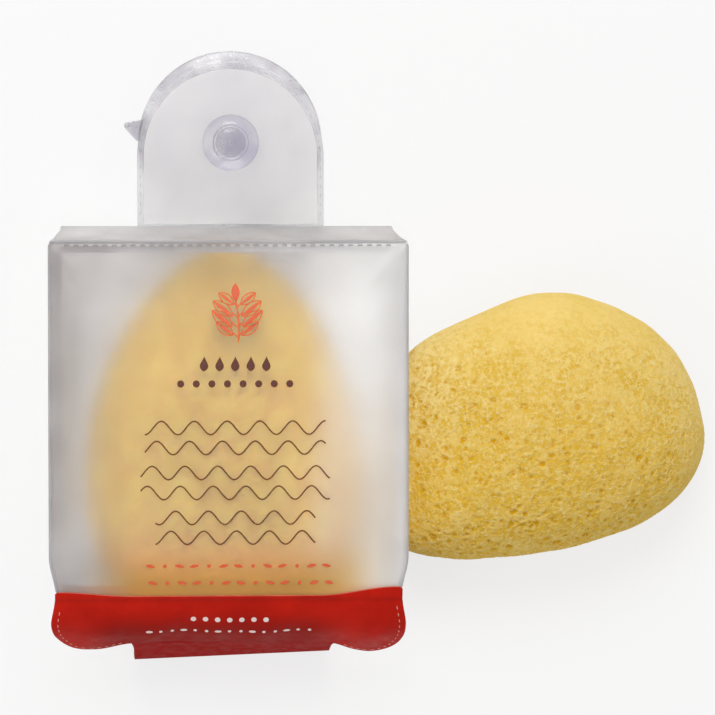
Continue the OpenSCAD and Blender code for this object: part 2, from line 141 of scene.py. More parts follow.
def placed(points):
    """Pouch millimetres to the shared frame's metres."""
    return ORIGIN + np.asarray(points, float) * MM


def in_pouch(points):
    """The shared frame's metres to pouch millimetres."""
    return (np.asarray(points, float) - ORIGIN) / MM


def smooth(t):
    """Soft step from 0 to 1."""
    t = np.clip(t, 0, 1)
    return t * t * (3 - 2 * t)


def mix(a, b, t):
    return a + (b - a) * t


def crowd(count):
    """Shares from 0 to 1 that lie closer together at both ends."""
    return (1 - np.cos(np.pi * np.linspace(0, 1, count))) / 2


def points_at(x, y, z):
    """Points from coordinates, each a number or an array of rows and columns."""
    return np.stack(np.broadcast_arrays(x, y, z), -1)


def unit(vectors):
    return vectors / (np.linalg.norm(vectors, axis=-1)[..., None] + 1e-12)


def lengths_along(path):
    """Length of a path up to each of its points."""
    steps = np.linalg.norm(np.diff(path, axis=0), axis=1)
    return np.concatenate([[0], np.cumsum(steps)])


def points_along(path, run, t):
    """Points of a path at the places t, where run gives the place of each of its own points."""
    return np.stack([np.interp(t, run, column) for column in np.asarray(path).T], 1)


# Mesh helpers
def new_object(name, verts, faces, smooth_angle=40):
    """Mesh object from points in metres, with its normals outwards and shaded smooth."""
    mesh = bpy.data.meshes.new(name)
    mesh.from_pydata(np.asarray(verts).tolist(), [], [list(map(int, f)) for f in faces])
    work = bmesh.new()
    work.from_mesh(mesh)
    bmesh.ops.recalc_face_normals(work, faces=work.faces)
    for edge in work.edges:
        if len(edge.link_faces) == 2 and edge.calc_face_angle() > math.radians(smooth_angle):
            edge.smooth = False
    work.to_mesh(mesh)
    work.free()
    for polygon in mesh.polygons:
        polygon.use_smooth = True
    return shown(name, mesh)


def shown(name, data):
    """Object of a mesh, curve, lamp or camera, in the scene."""
    obj = bpy.data.objects.new(name, data)
    bpy.context.scene.collection.objects.link(obj)
    return obj


def evaluated_mesh(obj):
    """New mesh of an object as its modifiers or its curve make it."""
    bpy.context.view_layer.update()
    return bpy.data.meshes.new_from_object(obj.evaluated_get(bpy.context.evaluated_depsgraph_get()))


def finished(obj, material, body, replaces=()):
    """Gives a piece its material and body, and hides the imported parts it replaces. A piece without a
    body is left without a parent.
    """
    obj.data.materials.clear()
    obj.data.materials.append(material)
    if body:
        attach(obj, body)
    if replaces:
        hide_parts(*replaces)
    return obj


def piece(name, parts, material, body, replaces=(), angle=50):
    """Finished piece from its points in pouch millimetres and its faces."""
    verts, faces = parts
    return finished(new_object(name, placed(verts), faces, angle), material, body, replaces)


def pouch_piece(name, parts, material, replaces=(), angle=50):
    return piece(name, parts, material, "pouch", replaces, angle)


def point_share(obj, name, values):
    """Stores a share from 0 to 1 at each of a mesh's points, for its material."""
    attribute = obj.data.attributes.new(name, "FLOAT", "POINT")
    attribute.data.foreach_set("value", np.clip(values, 0, 1).astype(np.float32))


def sheet_mesh(low, high):
    """Closed sheet between two grids of points, each of shape (rows, columns, 3)."""
    n, m = low.shape[:2]
    verts = np.concatenate([low.reshape(-1, 3), high.reshape(-1, 3)])
    index = np.arange(n * m).reshape(n, m)
    a, b = index[:-1, :-1].ravel(), index[:-1, 1:].ravel()
    c, d = index[1:, 1:].ravel(), index[1:, :-1].ravel()
    top = n * m
    faces = [np.stack([a, d, c, b], 1), np.stack([a, b, c, d], 1) + top]
    for edge in (index[0, :], index[-1, ::-1], index[::-1, 0], index[:, -1]):
        p, q = edge[:-1], edge[1:]
        faces.append(np.stack([p, q, q + top, p + top], 1))
    return verts, np.concatenate(faces)


def joined(parts):
    """One list of points and one of faces from several."""
    verts, faces, base = [], [], 0
    for v, f in parts:
        verts.append(np.asarray(v, float))
        faces.extend([[int(i) + base for i in face] for face in f])
        base += len(v)
    return np.concatenate(verts), faces


def faces_between(rings, around):
    """Four-sided faces between rings of points that follow one another."""
    faces = []
    for k in range(rings - 1):
        for i in range(around):
            a, b = k * around + i, k * around + (i + 1) % around
            faces.append([a, b, b + around, a + around])
    return faces


def capped_rings(rings, ends=None):
    """Closed form from rings of points and a point at either end, by default the rings' middles."""
    n = len(rings[0])
    ends = ends or [rings[0].mean(0), rings[-1].mean(0)]
    verts = np.concatenate(rings + [ends])
    faces = faces_between(len(rings), n)
    foot, last = len(verts) - 2, (len(rings) - 1) * n
    for i in range(n):
        faces.append([foot, (i + 1) % n, i])
        faces.append([foot + 1, last + i, last + (i + 1) % n])
    return verts, faces


def tube_mesh(path, radius, around):
    """Closed tube along a path of points, drawn in at both ends."""
    path = np.asarray(path, float)
    tangent = unit(np.gradient(path, axis=0))
    side = unit(np.cross(tangent, [0.13, 0.21, 0.97]))
    over = np.cross(side, tangent)
    angles = 2 * np.pi * np.arange(around)[None, :, None] / around
    radii = np.full(len(path), float(radius))
    radii[[0, -1]] *= 0.55
    turned = side[:, None, :] * np.cos(angles) + over[:, None, :] * np.sin(angles)
    verts = (path[:, None, :] + turned * radii[:, None, None]).reshape(-1, 3)
    last = (len(path) - 1) * around
    caps = [list(range(around))[::-1], list(range(last, last + around))]
    return verts, faces_between(len(path), around) + caps


def stitches(path, length, pitch, radius, lift):
    """Short thread ends along a path, which dive in at both ends. lift points outwards."""
    path = np.asarray(path, float)
    lift = np.broadcast_to(lift, path.shape)
    run = lengths_along(path)
    shares = np.linspace(0, 1, 7)
    arch = np.sin(np.pi * shares)[:, None] * 1.3 - 0.65
    parts = []
    start = pitch / 2
    while start + length < run[-1]:
        points, out = (points_along(each, run, start + length * shares) for each in (path, lift))
        parts.append(tube_mesh(points + out * radius * arch, radius, 6))
        start += pitch
    return joined(parts)


# The pouch's surfaces
def front_at(run, lift=0.0):
    """Side view of the front: y and z after a run from the top seam, over the bend."""
    a = np.maximum(run - POUCH_L, 0) / BEND_R
    y = np.where(run < POUCH_L, -TOP_LEAN - run, BEND_Y - BEND_R * np.sin(a)) - lift * np.sin(a)
    z = FRONT_Z - BEND_R * (1 - np.cos(a)) + lift * np.cos(a)
    return y, z


def crown_at(share, run):
    return (CROWN * (1 - np.abs(share) ** 2.4) * smooth(run / (POUCH_L * 0.3))
            * smooth((SEAM_RUN - run) / (POUCH_L * 0.2)))


def half_at(run):
    """Half width of the front, drawn in a little at the mouth."""
    return FRONT_HALF - 1.65 * smooth(1 - (SEAM_RUN - run) / (POUCH_L * 0.12))


def back_half_at(y):
    return BACK_HALF - BACK_DRAW * smooth(-y / PLEAT_RUNOUT)


# Pulls in the film from its top corners: side, angle in degrees, reach and height
PULLS = ((1, 47, 21, 0.95), (1, 66, 26, 0.4), (-1, 50, 17, 0.8), (-1, 70, 25, 0.4))


def wrinkle_at(x, run):
    """Slack of the film: low swells, and the pulls."""
    inside = smooth((FRONT_HALF - np.abs(x)) / 9) * smooth(run / 9)
    inside = inside * smooth((SEAM_RUN - run) / 10)
    swell = (np.sin(0.19 * x + 1.3 + 0.8 * np.sin(0.11 * run)) * np.sin(0.15 * run + 0.7)
             + 0.6 * np.sin(0.31 * x - 0.23 * run + 2.0)
             + 0.45 * np.sin(0.11 * x + 0.37 * run + 0.4))
    edge = smooth((np.abs(x) - 18) / 18)
    pulls = 0
    for side, angle, reach, height in PULLS:
        dx, dy = -side * math.cos(math.radians(angle)), math.sin(math.radians(angle))
        along = (x - side * FRONT_HALF) * dx + run * dy
        off = (x - side * FRONT_HALF) * dy - run * dx
        width = 0.9 + 0.07 * np.maximum(along, 0)
        fade = smooth(along / 4) * smooth((reach - along) / (reach * 0.7))
        pulls = pulls + height * np.exp(-(off / width) ** 2) * fade
    return inside * (0.3 + 0.17 * swell * (0.35 + 0.65 * edge)) + pulls


def front_surface(x, run, lift):
    """Point of the front film over x and the run from its top seam, in pouch millimetres."""
    x, run, lift = (np.asarray(v, float) for v in np.broadcast_arrays(x, run, lift))
    share = np.clip(x / half_at(run), -1, 1)
    # The film rolls over into its seams
    side_roll = np.clip((np.abs(share) - 0.965) / 0.035, 0, 1)
    top_roll = np.clip((1.2 - run) / 1.2, 0, 1)
    drop = 0.9 * (1 - np.sqrt(1 - side_roll ** 2)) + 0.8 * (1 - np.sqrt(1 - top_roll ** 2))
    slack = crown_at(share, run) + wrinkle_at(x, run) * 0.55 - drop
    return points_at(x, *front_at(run, lift + slack))


def behind_front(x, run):
    """Thin strip of film close behind the front."""
    return sheet_mesh(front_surface(x, run, -0.5), front_surface(x, run, -0.12))


def belly_at(share, y):
    """Height of the back's underside, which bellies down to the table inside its rim."""
    top, end = -7.5, MOUTH_Y + 15.0
    reach = (top - end) / 2
    y_share = np.minimum(1, np.abs(y - (top + end) / 2) / reach)
    dip = RIM_H * 1.45 * (1 - np.abs(share) ** 2.3) * (1 - y_share ** 2.3)
    return np.maximum(0, RIM_H - dip)


def side_wall(side, inward, rows=46, columns=110):
    """Grid of points of a side gusset, from the back rim over its pleat to the front seam."""
    v = np.linspace(0, 1, columns)[None, :]
    t = 1 - np.linspace(0, 1, rows)[:, None]
    run = SEAM_RUN * v
    fy, fz = front_at(run)
    back_y = MOUTH_Y * v
    front_x = half_at(run) - inward
    back_x = back_half_at(back_y) - inward
    fold_y = mix(back_y, fy, (PLEAT_H - RIM_H) / (FRONT_Z - RIM_H))
    pleat = PLEAT_IN * smooth(-fold_y / PLEAT_RUNOUT)
    fold_x = np.minimum(FRONT_HALF - pleat - inward, back_x)
    to_fold = np.clip(t / 0.6, 0, 1)
    to_back = np.clip((t - 0.6) / 0.4, 0, 1)
    x = mix(mix(front_x, fold_x, to_fold), back_x, to_back)
    y = mix(mix(fy, fold_y, to_fold), back_y, to_back)
    z = mix(mix(fz, PLEAT_H, to_fold), BACK_TOP, to_back)
    wave = 0.35 * np.sin(0.21 * back_y + 1.1 * side + 3 * t) * np.sin(np.pi * to_fold) ** 2
    grid = points_at(side * (x - np.abs(wave)), y, z)
    for _ in range(3):
        grid[1:-1] = (grid[:-2] + 2 * grid[1:-1] + grid[2:]) / 4
    return grid


# Material helpers
def tone(r, g, b):
    """Linear colour of an sRGB one given as 0 to 255."""
    def linear(c):
        c /= 255
        return c / 12.92 if c <= 0.04045 else ((c + 0.055) / 1.055) ** 2.4
    return (linear(r), linear(g), linear(b), 1.0)


def mixed_surface(tree, share, first, second, output):
    """Shows the second of two shaders instead of the first, by a share."""
    mixer = tree.nodes.new("ShaderNodeMixShader")
    for source, target in zip((share, first, second), mixer.inputs):
        tree.links.new(source, target)
    tree.links.new(mixer.outputs[0], output.inputs["Surface"])


class Nodes:
    """A material's nodes, with short calls for the ones used here."""

    def __init__(self, name, roughness, **sockets):
        self.material = bpy.data.materials.new(name)
        self.material.use_nodes = True
        self.tree = self.material.node_tree
        self.shader = self.tree.nodes["Principled BSDF"]
        self.output = self.tree.nodes["Material Output"]
        self.shader.inputs["Roughness"].default_value = roughness
        for key, value in sockets.items():
            self.shader.inputs[key.replace("_", " ")].default_value = value
        self.place = self.add("TexCoord", {}).outputs["Object"]

    def put(self, value, socket):
        if isinstance(value, bpy.types.NodeSocket):
            self.tree.links.new(value, socket)
        else:
            socket.default_value = value

    def add(self, kind, inputs, **settings):
        node = self.tree.nodes.new("ShaderNode" + kind)
        for key, value in settings.items():
            setattr(node, key, value)
        for key, value in inputs.items():
            self.put(value, node.inputs[key])
        return node

    def stretched(self, x, y, z):
        return self.add("VectorMath", {0: self.place, 1: (x, y, z)}, operation="MULTIPLY").outputs[0]

    def noise(self, size, detail, rough=0.55, at=None):
        """Noise with features of a size in millimetres."""
        inputs = {"Vector": at or self.place, "Scale": 1 / (size * MM), "Detail": detail,
                  "Roughness": rough}
        return self.add("TexNoise", inputs).outputs[0]

    def cells(self, size, feature="F1", random=1.0):
        inputs = {"Vector": self.place, "Scale": 1 / (size * MM), "Randomness": random}
        return self.add("TexVoronoi", inputs, feature=feature).outputs["Distance"]

    def spread(self, value, low, high, to_low=0.0, to_high=1.0):
        """Soft step of a value from one range to another."""
        inputs = {"Value": value, "From Min": low, "From Max": high, "To Min": to_low,
                  "To Max": to_high}
        return self.add("MapRange", inputs, interpolation_type="SMOOTHSTEP").outputs["Result"]

    def blend(self, factor, a, b):
        return self.add("Mix", {"Factor": factor, 6: a, 7: b}, data_type="RGBA").outputs[2]

    def maths(self, operation, a, b):
        return self.add("Math", {0: a, 1: b}, operation=operation).outputs[0]

    def times(self, a, b):
        return self.maths("MULTIPLY", a, b)

    def plus(self, a, b):
        return self.maths("ADD", a, b)

    def attribute(self, name):
        return self.add("Attribute", {}, attribute_name=name).outputs["Fac"]

    def colour(self, value):
        self.put(value, self.shader.inputs["Base Color"])

    def rough(self, value):
        self.put(value, self.shader.inputs["Roughness"])

    def bump(self, height, depth, strength):
        """Bump of a height field from 0 to 1, whose depth is in millimetres."""
        node = self.add("Bump", {"Distance": depth * MM, "Strength": strength, "Height": height})
        self.put(node.outputs["Normal"], self.shader.inputs["Normal"])

    def lets_lamps_through(self, tint):
        """Lamps shine straight through a thin clear film or moulding, tinted by it."""
        clear = self.add("BsdfTransparent", {"Color": tint})
        path = self.add("LightPath", {})
        mixed_surface(self.tree, path.outputs["Is Shadow Ray"], self.shader.outputs[0],
                      clear.outputs[0], self.output)


# Materials
# Painted warm glow for the front film near the flap, standing in for the red flap's reflection and the
# sponge's shaded low end
WARM_GLOW_PAINT = tone(240, 196, 84)


def frosted(name, pale, deep, through, rough=(0.5, 0.6), lamp=0.92, paints_light=False):
    """Frosted plastic film: a fine grain, cloudy patches and soft see-through.

    One that paints light takes painted light and shade from the shares at its mesh's points: a lit white
    veil, a lighter or darker tint and a warm glow.
    """
    n = Nodes(name, 0.45, Transmission_Weight=through, IOR=1.3, Specular_IOR_Level=0.2)
    clouds = n.spread(n.noise(16, 2), 0.3, 0.7)
    if paints_light:
        # Painted light and shade: the clear share makes the film's tint lighter or darker
        clouds = n.times(n.plus(clouds, n.times(n.attribute("clear"), 5)), 0.167)
        # Painted light: the veil share lowers the see-through, so the film shows a lit white veil
        veil_lift = n.times(n.attribute("painted_veil"), -0.45)
        n.put(n.plus(veil_lift, through), n.shader.inputs["Transmission Weight"])
        # Painted warm glow where the glow share is high
        n.colour(n.blend(n.attribute("glow"), n.blend(clouds, deep, pale), WARM_GLOW_PAINT))
    else:
        n.colour(n.blend(clouds, deep, pale))
    n.rough(n.spread(n.noise(7, 3), 0.3, 0.7, *rough))
    n.bump(n.plus(n.noise(0.45, 2, 0.6), n.times(n.noise(2.6, 2), 0.8)), 0.03, 0.4)
    n.lets_lamps_through((lamp, lamp, lamp, 1))
    return n.material


frost_front = frosted("frosted_film_front", tone(250, 250, 250), tone(206, 203, 202), 0.91,
                      (0.5, 0.62), paints_light=True)
# The mouth band is orange: a painted warm glow, standing in for the red flap's reflection and the sponge's
# shaded end behind it
frost_mouth_glow = frosted("frosted_film_mouth", tone(216, 130, 54), tone(200, 112, 42), 0.8, lamp=0.95)
frost_top = frosted("frosted_film_top", tone(240, 238, 238), tone(230, 228, 228), 0.82)
frost_back = frosted("frosted_film_back", tone(250, 250, 250), tone(242, 241, 243), 0.86, lamp=0.95)
frost_thick = frosted("frosted_seam", tone(212, 210, 211), tone(200, 197, 200), 0.5, lamp=0.8)
facing_frost = frosted("facing_film", tone(242, 241, 241), tone(236, 235, 236), 0.6,
                       (0.45, 0.55), 0.9)


def clear_plastic(name, colour, rough, depth, through):
    """Clear film or moulding with faint smears."""
    n = Nodes(name, rough, Transmission_Weight=through, IOR=1.4, Specular_IOR_Level=0.5)
    n.colour(n.blend(n.spread(n.noise(9, 2), 0.3, 0.7), colour, tone(240, 239, 240)))
    n.rough(n.spread(n.noise(3, 4), 0.35, 0.7, rough, rough * 2.2))
    n.bump(n.noise(1.7, 3), depth, 0.35)
    n.lets_lamps_through((0.93, 0.93, 0.94, 1))
    return n.material


clear_film = clear_plastic("clear_film", tone(232, 231, 233), 0.12, 0.05, 0.82)
# The disc's grey tint is partly the rubber's own and partly painted shade, the dark edges a thick clear
# moulding shows by refraction
rubber = clear_plastic("clear_rubber", tone(202, 200, 205), 0.24, 0.03, 0.82)
rubber_thick = clear_plastic("clear_rubber_head", tone(212, 209, 225), 0.05, 0.03, 0.9)


def red_plastic(name, bright, dark, rough, gloss, ripple=0.16, shade=None):
    """Soft red film with low ripples, and painted shade by its points' share if it has a shade colour."""
    n = Nodes(name, rough, Specular_IOR_Level=gloss)
    colour = n.blend(n.spread(n.noise(11, 3), 0.32, 0.72), bright, dark)
    n.colour(n.blend(n.attribute("shade"), colour, shade) if shade else colour)
    n.rough(n.spread(n.noise(2.2, 4), 0.35, 0.7, rough, rough * 1.5))
    n.bump(n.plus(n.noise(4.5, 2), n.times(n.noise(0.7, 2), 0.25)), ripple, 0.45)
    return n.material


red = red_plastic("red_film", tone(200, 31, 15), tone(180, 25, 12), 0.36, 0.07,
                  shade=tone(154, 22, 11))
# Darker copy of the red film for the tongue: painted shade, as the tongue faces down, away from the light
red_tongue_shaded = red_plastic("red_film_tongue", tone(164, 26, 20), tone(158, 24, 18), 0.5, 0.05, 0.01)
red_inside = red_plastic("red_lining", tone(140, 26, 20), tone(120, 22, 18), 0.5, 0.2)
pink_edge = red_plastic("cut_edge", tone(216, 104, 88), tone(196, 76, 62), 0.4, 0.2)


def thread_like(name, colour, dark):
    n = Nodes(name, 0.55, Sheen_Weight=0.25)
    twist = n.noise(0.25, 2, at=n.stretched(1, 1, 3))
    n.colour(n.blend(n.spread(twist, 0.35, 0.65), dark, colour))
    n.bump(twist, 0.05, 0.6)
    return n.material


grey_thread = thread_like("grey_thread", tone(186, 182, 184), tone(162, 158, 161))
pink_thread = thread_like("pink_thread", tone(236, 170, 152), tone(205, 110, 92))


def ink(name, colour, worn):
    n = Nodes(name, 0.5)
    n.colour(n.blend(n.spread(n.noise(0.8, 4), 0.55, 0.8), colour, worn))
    n.bump(n.noise(0.5, 2), 0.02, 0.3)
    return n.material


orange_ink = ink("orange_ink", tone(222, 92, 48), tone(226, 130, 90))
brown_ink = ink("brown_ink", tone(92, 44, 30), tone(118, 72, 52))
white_ink = ink("white_ink", tone(246, 226, 220), tone(238, 196, 186))


def sponge_material(name, pale, light, deep, deepest, mottle):
    """Open foam: the mesh holds the larger cells, and the shader adds the fine ones."""
    n = Nodes(name, 0.85, Subsurface_Weight=0.25, Subsurface_Scale=0.0014,
              Subsurface_Radius=(1.0, 0.6, 0.2), Specular_IOR_Level=0.12)
    coarse = n.attribute("coarse")
    skin = n.maths("SUBTRACT", 1.0, n.times(n.attribute("skin"), 0.75))
    patchy = n.spread(n.noise(5.5, 3), 0.36, 0.62, 0.3, 1.0)
    fine = n.times(n.spread(n.noise(1.35, 2, 0.65), 0.47, 0.6), patchy)
    wide = n.times(n.spread(n.noise(2.3, 3, 0.6), 0.48, 0.62), coarse)
    round_pits = n.times(n.spread(n.cells(1.2), 0.14, 0.42, 1.0, 0.0), patchy)
    pits = n.maths("MAXIMUM", n.maths("MAXIMUM", fine, wide), n.times(round_pits, 0.8))
    pits = n.times(pits, skin)
    threads = n.spread(n.cells(1.3, "DISTANCE_TO_EDGE"), 0.03, 0.12, 1.0, 0.0)
    threads = n.times(n.times(threads, n.spread(n.noise(0.8, 2), 0.4, 0.6)), skin)
    base = n.blend(n.spread(n.noise(mottle, 3), 0.35, 0.68), *pale)
    base = n.blend(n.times(coarse, 0.4), base, deep)
    # Painted light where the sponge's points ask for it
    base = n.blend(n.attribute("painted_lift"), base, light)
    dotted = n.blend(n.times(pits, 0.85), base, deep)
    dotted = n.blend(n.spread(n.attribute("pore"), 0.2, 0.9), dotted, deepest)
    n.colour(n.blend(n.times(threads, 0.5), dotted, light))
    rise = n.plus(n.times(threads, 0.5), n.times(n.noise(0.5, 2), 0.4))
    n.bump(n.maths("SUBTRACT", rise, pits), 0.26, 0.6)
    return n.material


sponge_foam = sponge_material("sponge", (tone(244, 213, 128), tone(238, 205, 112)),
                              tone(250, 232, 166), tone(226, 180, 46), tone(216, 162, 20), 14)
# The packed sponge takes a darker, deeper copy of the sponge's colours: painted shade inside the pouch,
# offsetting the film's painted veil
sponge_inside = sponge_material("sponge_in_pouch", (tone(220, 188, 62), tone(206, 160, 38)),
                                tone(232, 208, 100), tone(216, 152, 24), tone(196, 136, 18), 5)


def tape(name, colour, dark, size):
    n = Nodes(name, 0.8, Sheen_Weight=0.4)
    weave = n.cells(size, random=0.75)
    n.colour(n.blend(n.spread(weave, 0.15, 0.6), colour, dark))
    n.bump(weave, 0.25, 0.8)
    return n.material


hook_tape = tape("hook_tape", tone(170, 168, 170), tone(126, 124, 128), 0.7)
loop_tape = tape("loop_tape", tone(198, 196, 196), tone(158, 155, 156), 0.45)


# Pouch films
def film_shares(x, y):
    """Painted light and shade on the front film: a lit white veil, a lighter or darker tint, and a warm
    glow near the flap.
    """
    # Near the flap: painted warm glow and painted white veil
    warm = smooth((-y - 71) / 15) * smooth((38 - np.abs(x)) / 18)
    low_down = smooth((-y - 26) / 46)
    left = smooth((-x - 26) / 14) * (0.15 + 0.3 * smooth((-y - 60) / 20))
    # Painted light: a white veil over the right half, at the lower left and near the flap
    painted_veil = (0.8 - 0.1 * low_down) * smooth((x - 16) / 20) + left + 0.45 * warm
    # Painted shade: the tint darkens towards the left, along the top and down the right edge; painted
    # light lifts it low on the left. The clear share carries both.
    top = smooth((y + 22) / 12) * (0.35 - 0.3 * smooth((x + 5) / 10) + 0.3 * smooth((x - 16) / 12))
    side = 0.35 * smooth((x - 34) / 8) * smooth((-y - 8) / 14)
    beside = 0.3 * low_down * smooth((x + 42) / 8) * smooth((-26 - x) / 9) * smooth((84 + y) / 14)
    clear = 0.6 * smooth((x + 42) / 20) + 0.4 * smooth((x - 6) / 20) - side - top + beside
    # Painted warm glow near the flap and in a band low on the right
    glow = 0.85 * warm + 0.22 * low_down * smooth((x - 21) / 8) * smooth((44 - x) / 14)
    return {"painted_veil": painted_veil, "clear": clear, "glow": glow}


def front_panel():
    share = crowd(130)[None, :] * 2 - 1
    run = SEAM_RUN * np.linspace(0, 1, 140)[:, None]
    x = share * half_at(run)
    parts = sheet_mesh(front_surface(x, run, 0.0), front_surface(x, run, FILM_T))
    obj = pouch_piece("pouch_front", parts, frost_front, ["front_panel"], 60)
    for name, values in film_shares(*parts[0].T[:2]).items():
        point_share(obj, name, values)


def back_panel():
    share = crowd(90)[None, :] * 2 - 1
    y = np.linspace(MOUTH_Y, 0, 100)[:, None]
    low = points_at(share * back_half_at(y), y, belly_at(share, y))
    parts = sheet_mesh(low, low + [0, 0, FILM_T])
    pouch_piece("pouch_back", parts, frost_back, ["back_panel"], 60)


def gussets():
    for side, name in ((-1, "left_gusset"), (1, "right_gusset")):
        parts = sheet_mesh(side_wall(side, FILM_T), side_wall(side, 0.0))
        pouch_piece("pouch_" + name, parts, frost_back, [name], 60)


def top_gusset():
    v = np.linspace(0, 1, 40)[:, None]
    share = np.linspace(1, -1, 90)[None, :]
    z = mix(BACK_TOP, FRONT_Z, v)
    half = mix(BACK_HALF, FRONT_HALF, np.clip((z - PLEAT_H) / (FRONT_Z - PLEAT_H), 0, 1)) - FILM_T
    slack = 0.35 * np.sin(0.23 * share * FRONT_HALF + 0.6) * np.sin(np.pi * v) ** 2
    outer = points_at(share * half, mix(0, -TOP_LEAN, v) - np.abs(slack), z)
    parts = sheet_mesh(outer - [0, FILM_T, 0], outer)
    pouch_piece("pouch_top_gusset", parts, frost_top, ["top_gusset"], 60)


def welts():
    """Rolled welts along the front's side seams and its top seam."""
    run = np.linspace(0.4, SEAM_RUN - 0.6, 120)
    y, z = front_at(run)
    paths = [points_at(side * (half_at(run) - 0.15), y, z - 0.25) for side in (-1, 1)]
    x = np.linspace(-FRONT_HALF + 0.2, FRONT_HALF - 0.2, 80)
    paths.append(points_at(x, -TOP_LEAN + 0.05, FRONT_Z - 0.25))
    parts = joined([tube_mesh(path, WELT_R, 10) for path in paths])
    pouch_piece("pouch_welts", parts, frost_thick)


def allowances():
    """The films' edges, turned in behind the side seams and the top seam."""
    run = np.linspace(2.6, SEAM_RUN - 3, 90)[:, None]
    reach = np.linspace(2.9, 0.9, 5)[None, :]
    parts = [behind_front(side * (half_at(run) - reach), run) for side in (-1, 1)]
    x = np.linspace(-FRONT_HALF + 2.6, FRONT_HALF - 2.6, 90)[None, :]
    parts.append(behind_front(x, np.linspace(0.9, 2.5, 5)[:, None]))
    pouch_piece("pouch_allowances", joined(parts), frost_thick)


def top_stitches():
    x = np.linspace(-FRONT_HALF + 2.5, FRONT_HALF - 2.5, 200)
    row = stitches(front_surface(x, 0.75, FILM_T), 1.25, 2.25, 0.16, (0.0, 0.25, 0.97))
    pouch_piece("top_stitches", row, grey_thread)


def binding():
    run = np.linspace(SEAM_RUN - 2.5, SEAM_RUN - 0.15, 10)[:, None]
    x = np.linspace(-1, 1, 60)[None, :] * (half_at(run) - 1.3)
    low, high = (points_at(x, *front_at(run, lift)) for lift in (-0.55, -0.12))
    pouch_piece("mouth_band", sheet_mesh(low, high), frost_mouth_glow, ["mouth_binding"])


def hem():
    y = np.linspace(MOUTH_Y, MOUTH_Y + HEM_W, 12)[:, None]
    x = np.linspace(-1, 1, 60)[None, :] * (back_half_at(y) - 1.3)
    puff = 0.4 - 0.14 * np.abs((y - MOUTH_Y) / (HEM_W / 2) - 1) ** 4
    parts = sheet_mesh(points_at(x, y, BACK_TOP), points_at(x, y, BACK_TOP + puff))
    pouch_piece("rear_hem", parts, frost_thick, ["back_hem"], 60)


def hem_stitches():
    reach = BACK_HALF - 4.5
    path = points_at([-reach, reach], MOUTH_Y + 3.4, BACK_TOP + 0.4)
    row = stitches(path, 1.4, 2.3, 0.12, (0.0, 0.0, 1.0))
    pouch_piece("rear_hem_stitches", row, grey_thread)


front_panel()
back_panel()
gussets()
top_gusset()
welts()
allowances()
top_stitches()
binding()
hem()
hem_stitches()


# Hanger tab and suction cup
def outline_plate(name, outlines, low, high, rounding):
    """Flat plate from closed outlines in pouch millimetres, the later ones being holes."""
    curve = bpy.data.curves.new(name, "CURVE")
    curve.dimensions = "2D"
    curve.fill_mode = "BOTH"
    curve.extrude = ((high - low) / 2 - rounding) * MM
    curve.bevel_depth = rounding * MM
    curve.bevel_resolution = 2
    curve.offset = -rounding * MM
    for outline in outlines:
        spline = curve.splines.new("POLY")
        points = placed(points_at(*np.asarray(outline).T, 0.0))
        spline.points.add(len(points) - 1)
        for point, target in zip(points, spline.points):
            target.co = (*point, 1)
        spline.use_cyclic_u = True
    holder = shown(name + "_curve", curve)
    mesh = evaluated_mesh(holder)
    bpy.data.objects.remove(holder)
    work = bmesh.new()
    work.from_mesh(mesh)
    bmesh.ops.remove_doubles(work, verts=work.verts, dist=1e-6)
    bmesh.ops.translate(work, verts=work.verts, vec=(0, 0, (low + high) / 2 * MM))
    bmesh.ops.recalc_face_normals(work, faces=work.faces)
    work.to_mesh(mesh)
    work.free()
    mesh.name = name
    return shown(name, mesh)


def arc(x, y, r, angles):
    return np.column_stack([x + r * np.cos(angles), y + r * np.sin(angles)])


def circle(x, y, r, count):
    return arc(x, y, r, 2 * np.pi * np.arange(count) / count)


def tab_outline(inset, foot_y, count=80):
    """The hanger tab's outline at an inset: over its arch to its left foot and its right foot."""
    arch = arc(TAB_X, TAB_ARCH_Y, TAB_W / 2 - inset, np.linspace(0, np.pi, count))
    return np.concatenate([arch, [(arch[-1, 0], foot_y), (arch[0, 0], foot_y)]])


def hanger():
    hole = circle(TAB_X, TAB_REACH, TAB_HOLE_R, 64)
    tab = outline_plate("tab_film", [tab_outline(0, -7), hole], RIM_H - FILM_T, RIM_H, 0.12)
    finished(tab, clear_film, "pouch", ["hanger_tab"])
    outlines = [tab_outline(1.6, 0.5), hole]
    facing = outline_plate("tab_frost", outlines, RIM_H + 0.01, RIM_H + 0.35, 0.08)
    finished(facing, facing_frost, "pouch", ["tab_facing"])
    # The row of stitches starts at the right foot and ends at the left one
    line = np.roll(tab_outline(0.8, 1.5, 120), 1, axis=0)
    row = stitches(points_at(*line.T, RIM_H), 0.9, 2.2, 0.08, (0.0, 0.0, 1.0))
    piece("tab_stitches", row, clear_film, "pouch")


def cup_piece(name, profile, material, replaces=()):
    """Piece of the cup, turned from (r, z) points that start and end on the hole's axis."""
    profile = np.asarray(profile, float)
    rings = [points_at(*circle(TAB_X, TAB_REACH, r, 144).T, z) for r, z in profile[1:-1]]
    ends = [(TAB_X, TAB_REACH, z) for z in profile[[0, -1], 1]]
    piece(name, capped_rings(rings, ends), material, "cup", replaces, 55)


def rounded(points, radius, steps=4):
    """Profile with its inner corners rounded off by a radius each."""
    points = [np.asarray(p, float) for p in points]
    out = [points[0]]
    for before, here, after in zip(points, points[1:], points[2:]):
        a, b = before - here, after - here
        la, lb = np.linalg.norm(a), np.linalg.norm(b)
        r = min(radius, la * 0.45, lb * 0.45)
        p, q = here + a / la * r, here + b / lb * r
        for t in np.linspace(0, 1, steps):
            out.append((1 - t) ** 2 * p + 2 * t * (1 - t) * here + t * t * q)
    out.append(points[-1])
    return out


def ridge(r, middle, height, width):
    """Height of a low round ridge, at a distance r from the axis."""
    return height * np.exp(-((r - middle) / width) ** 2)


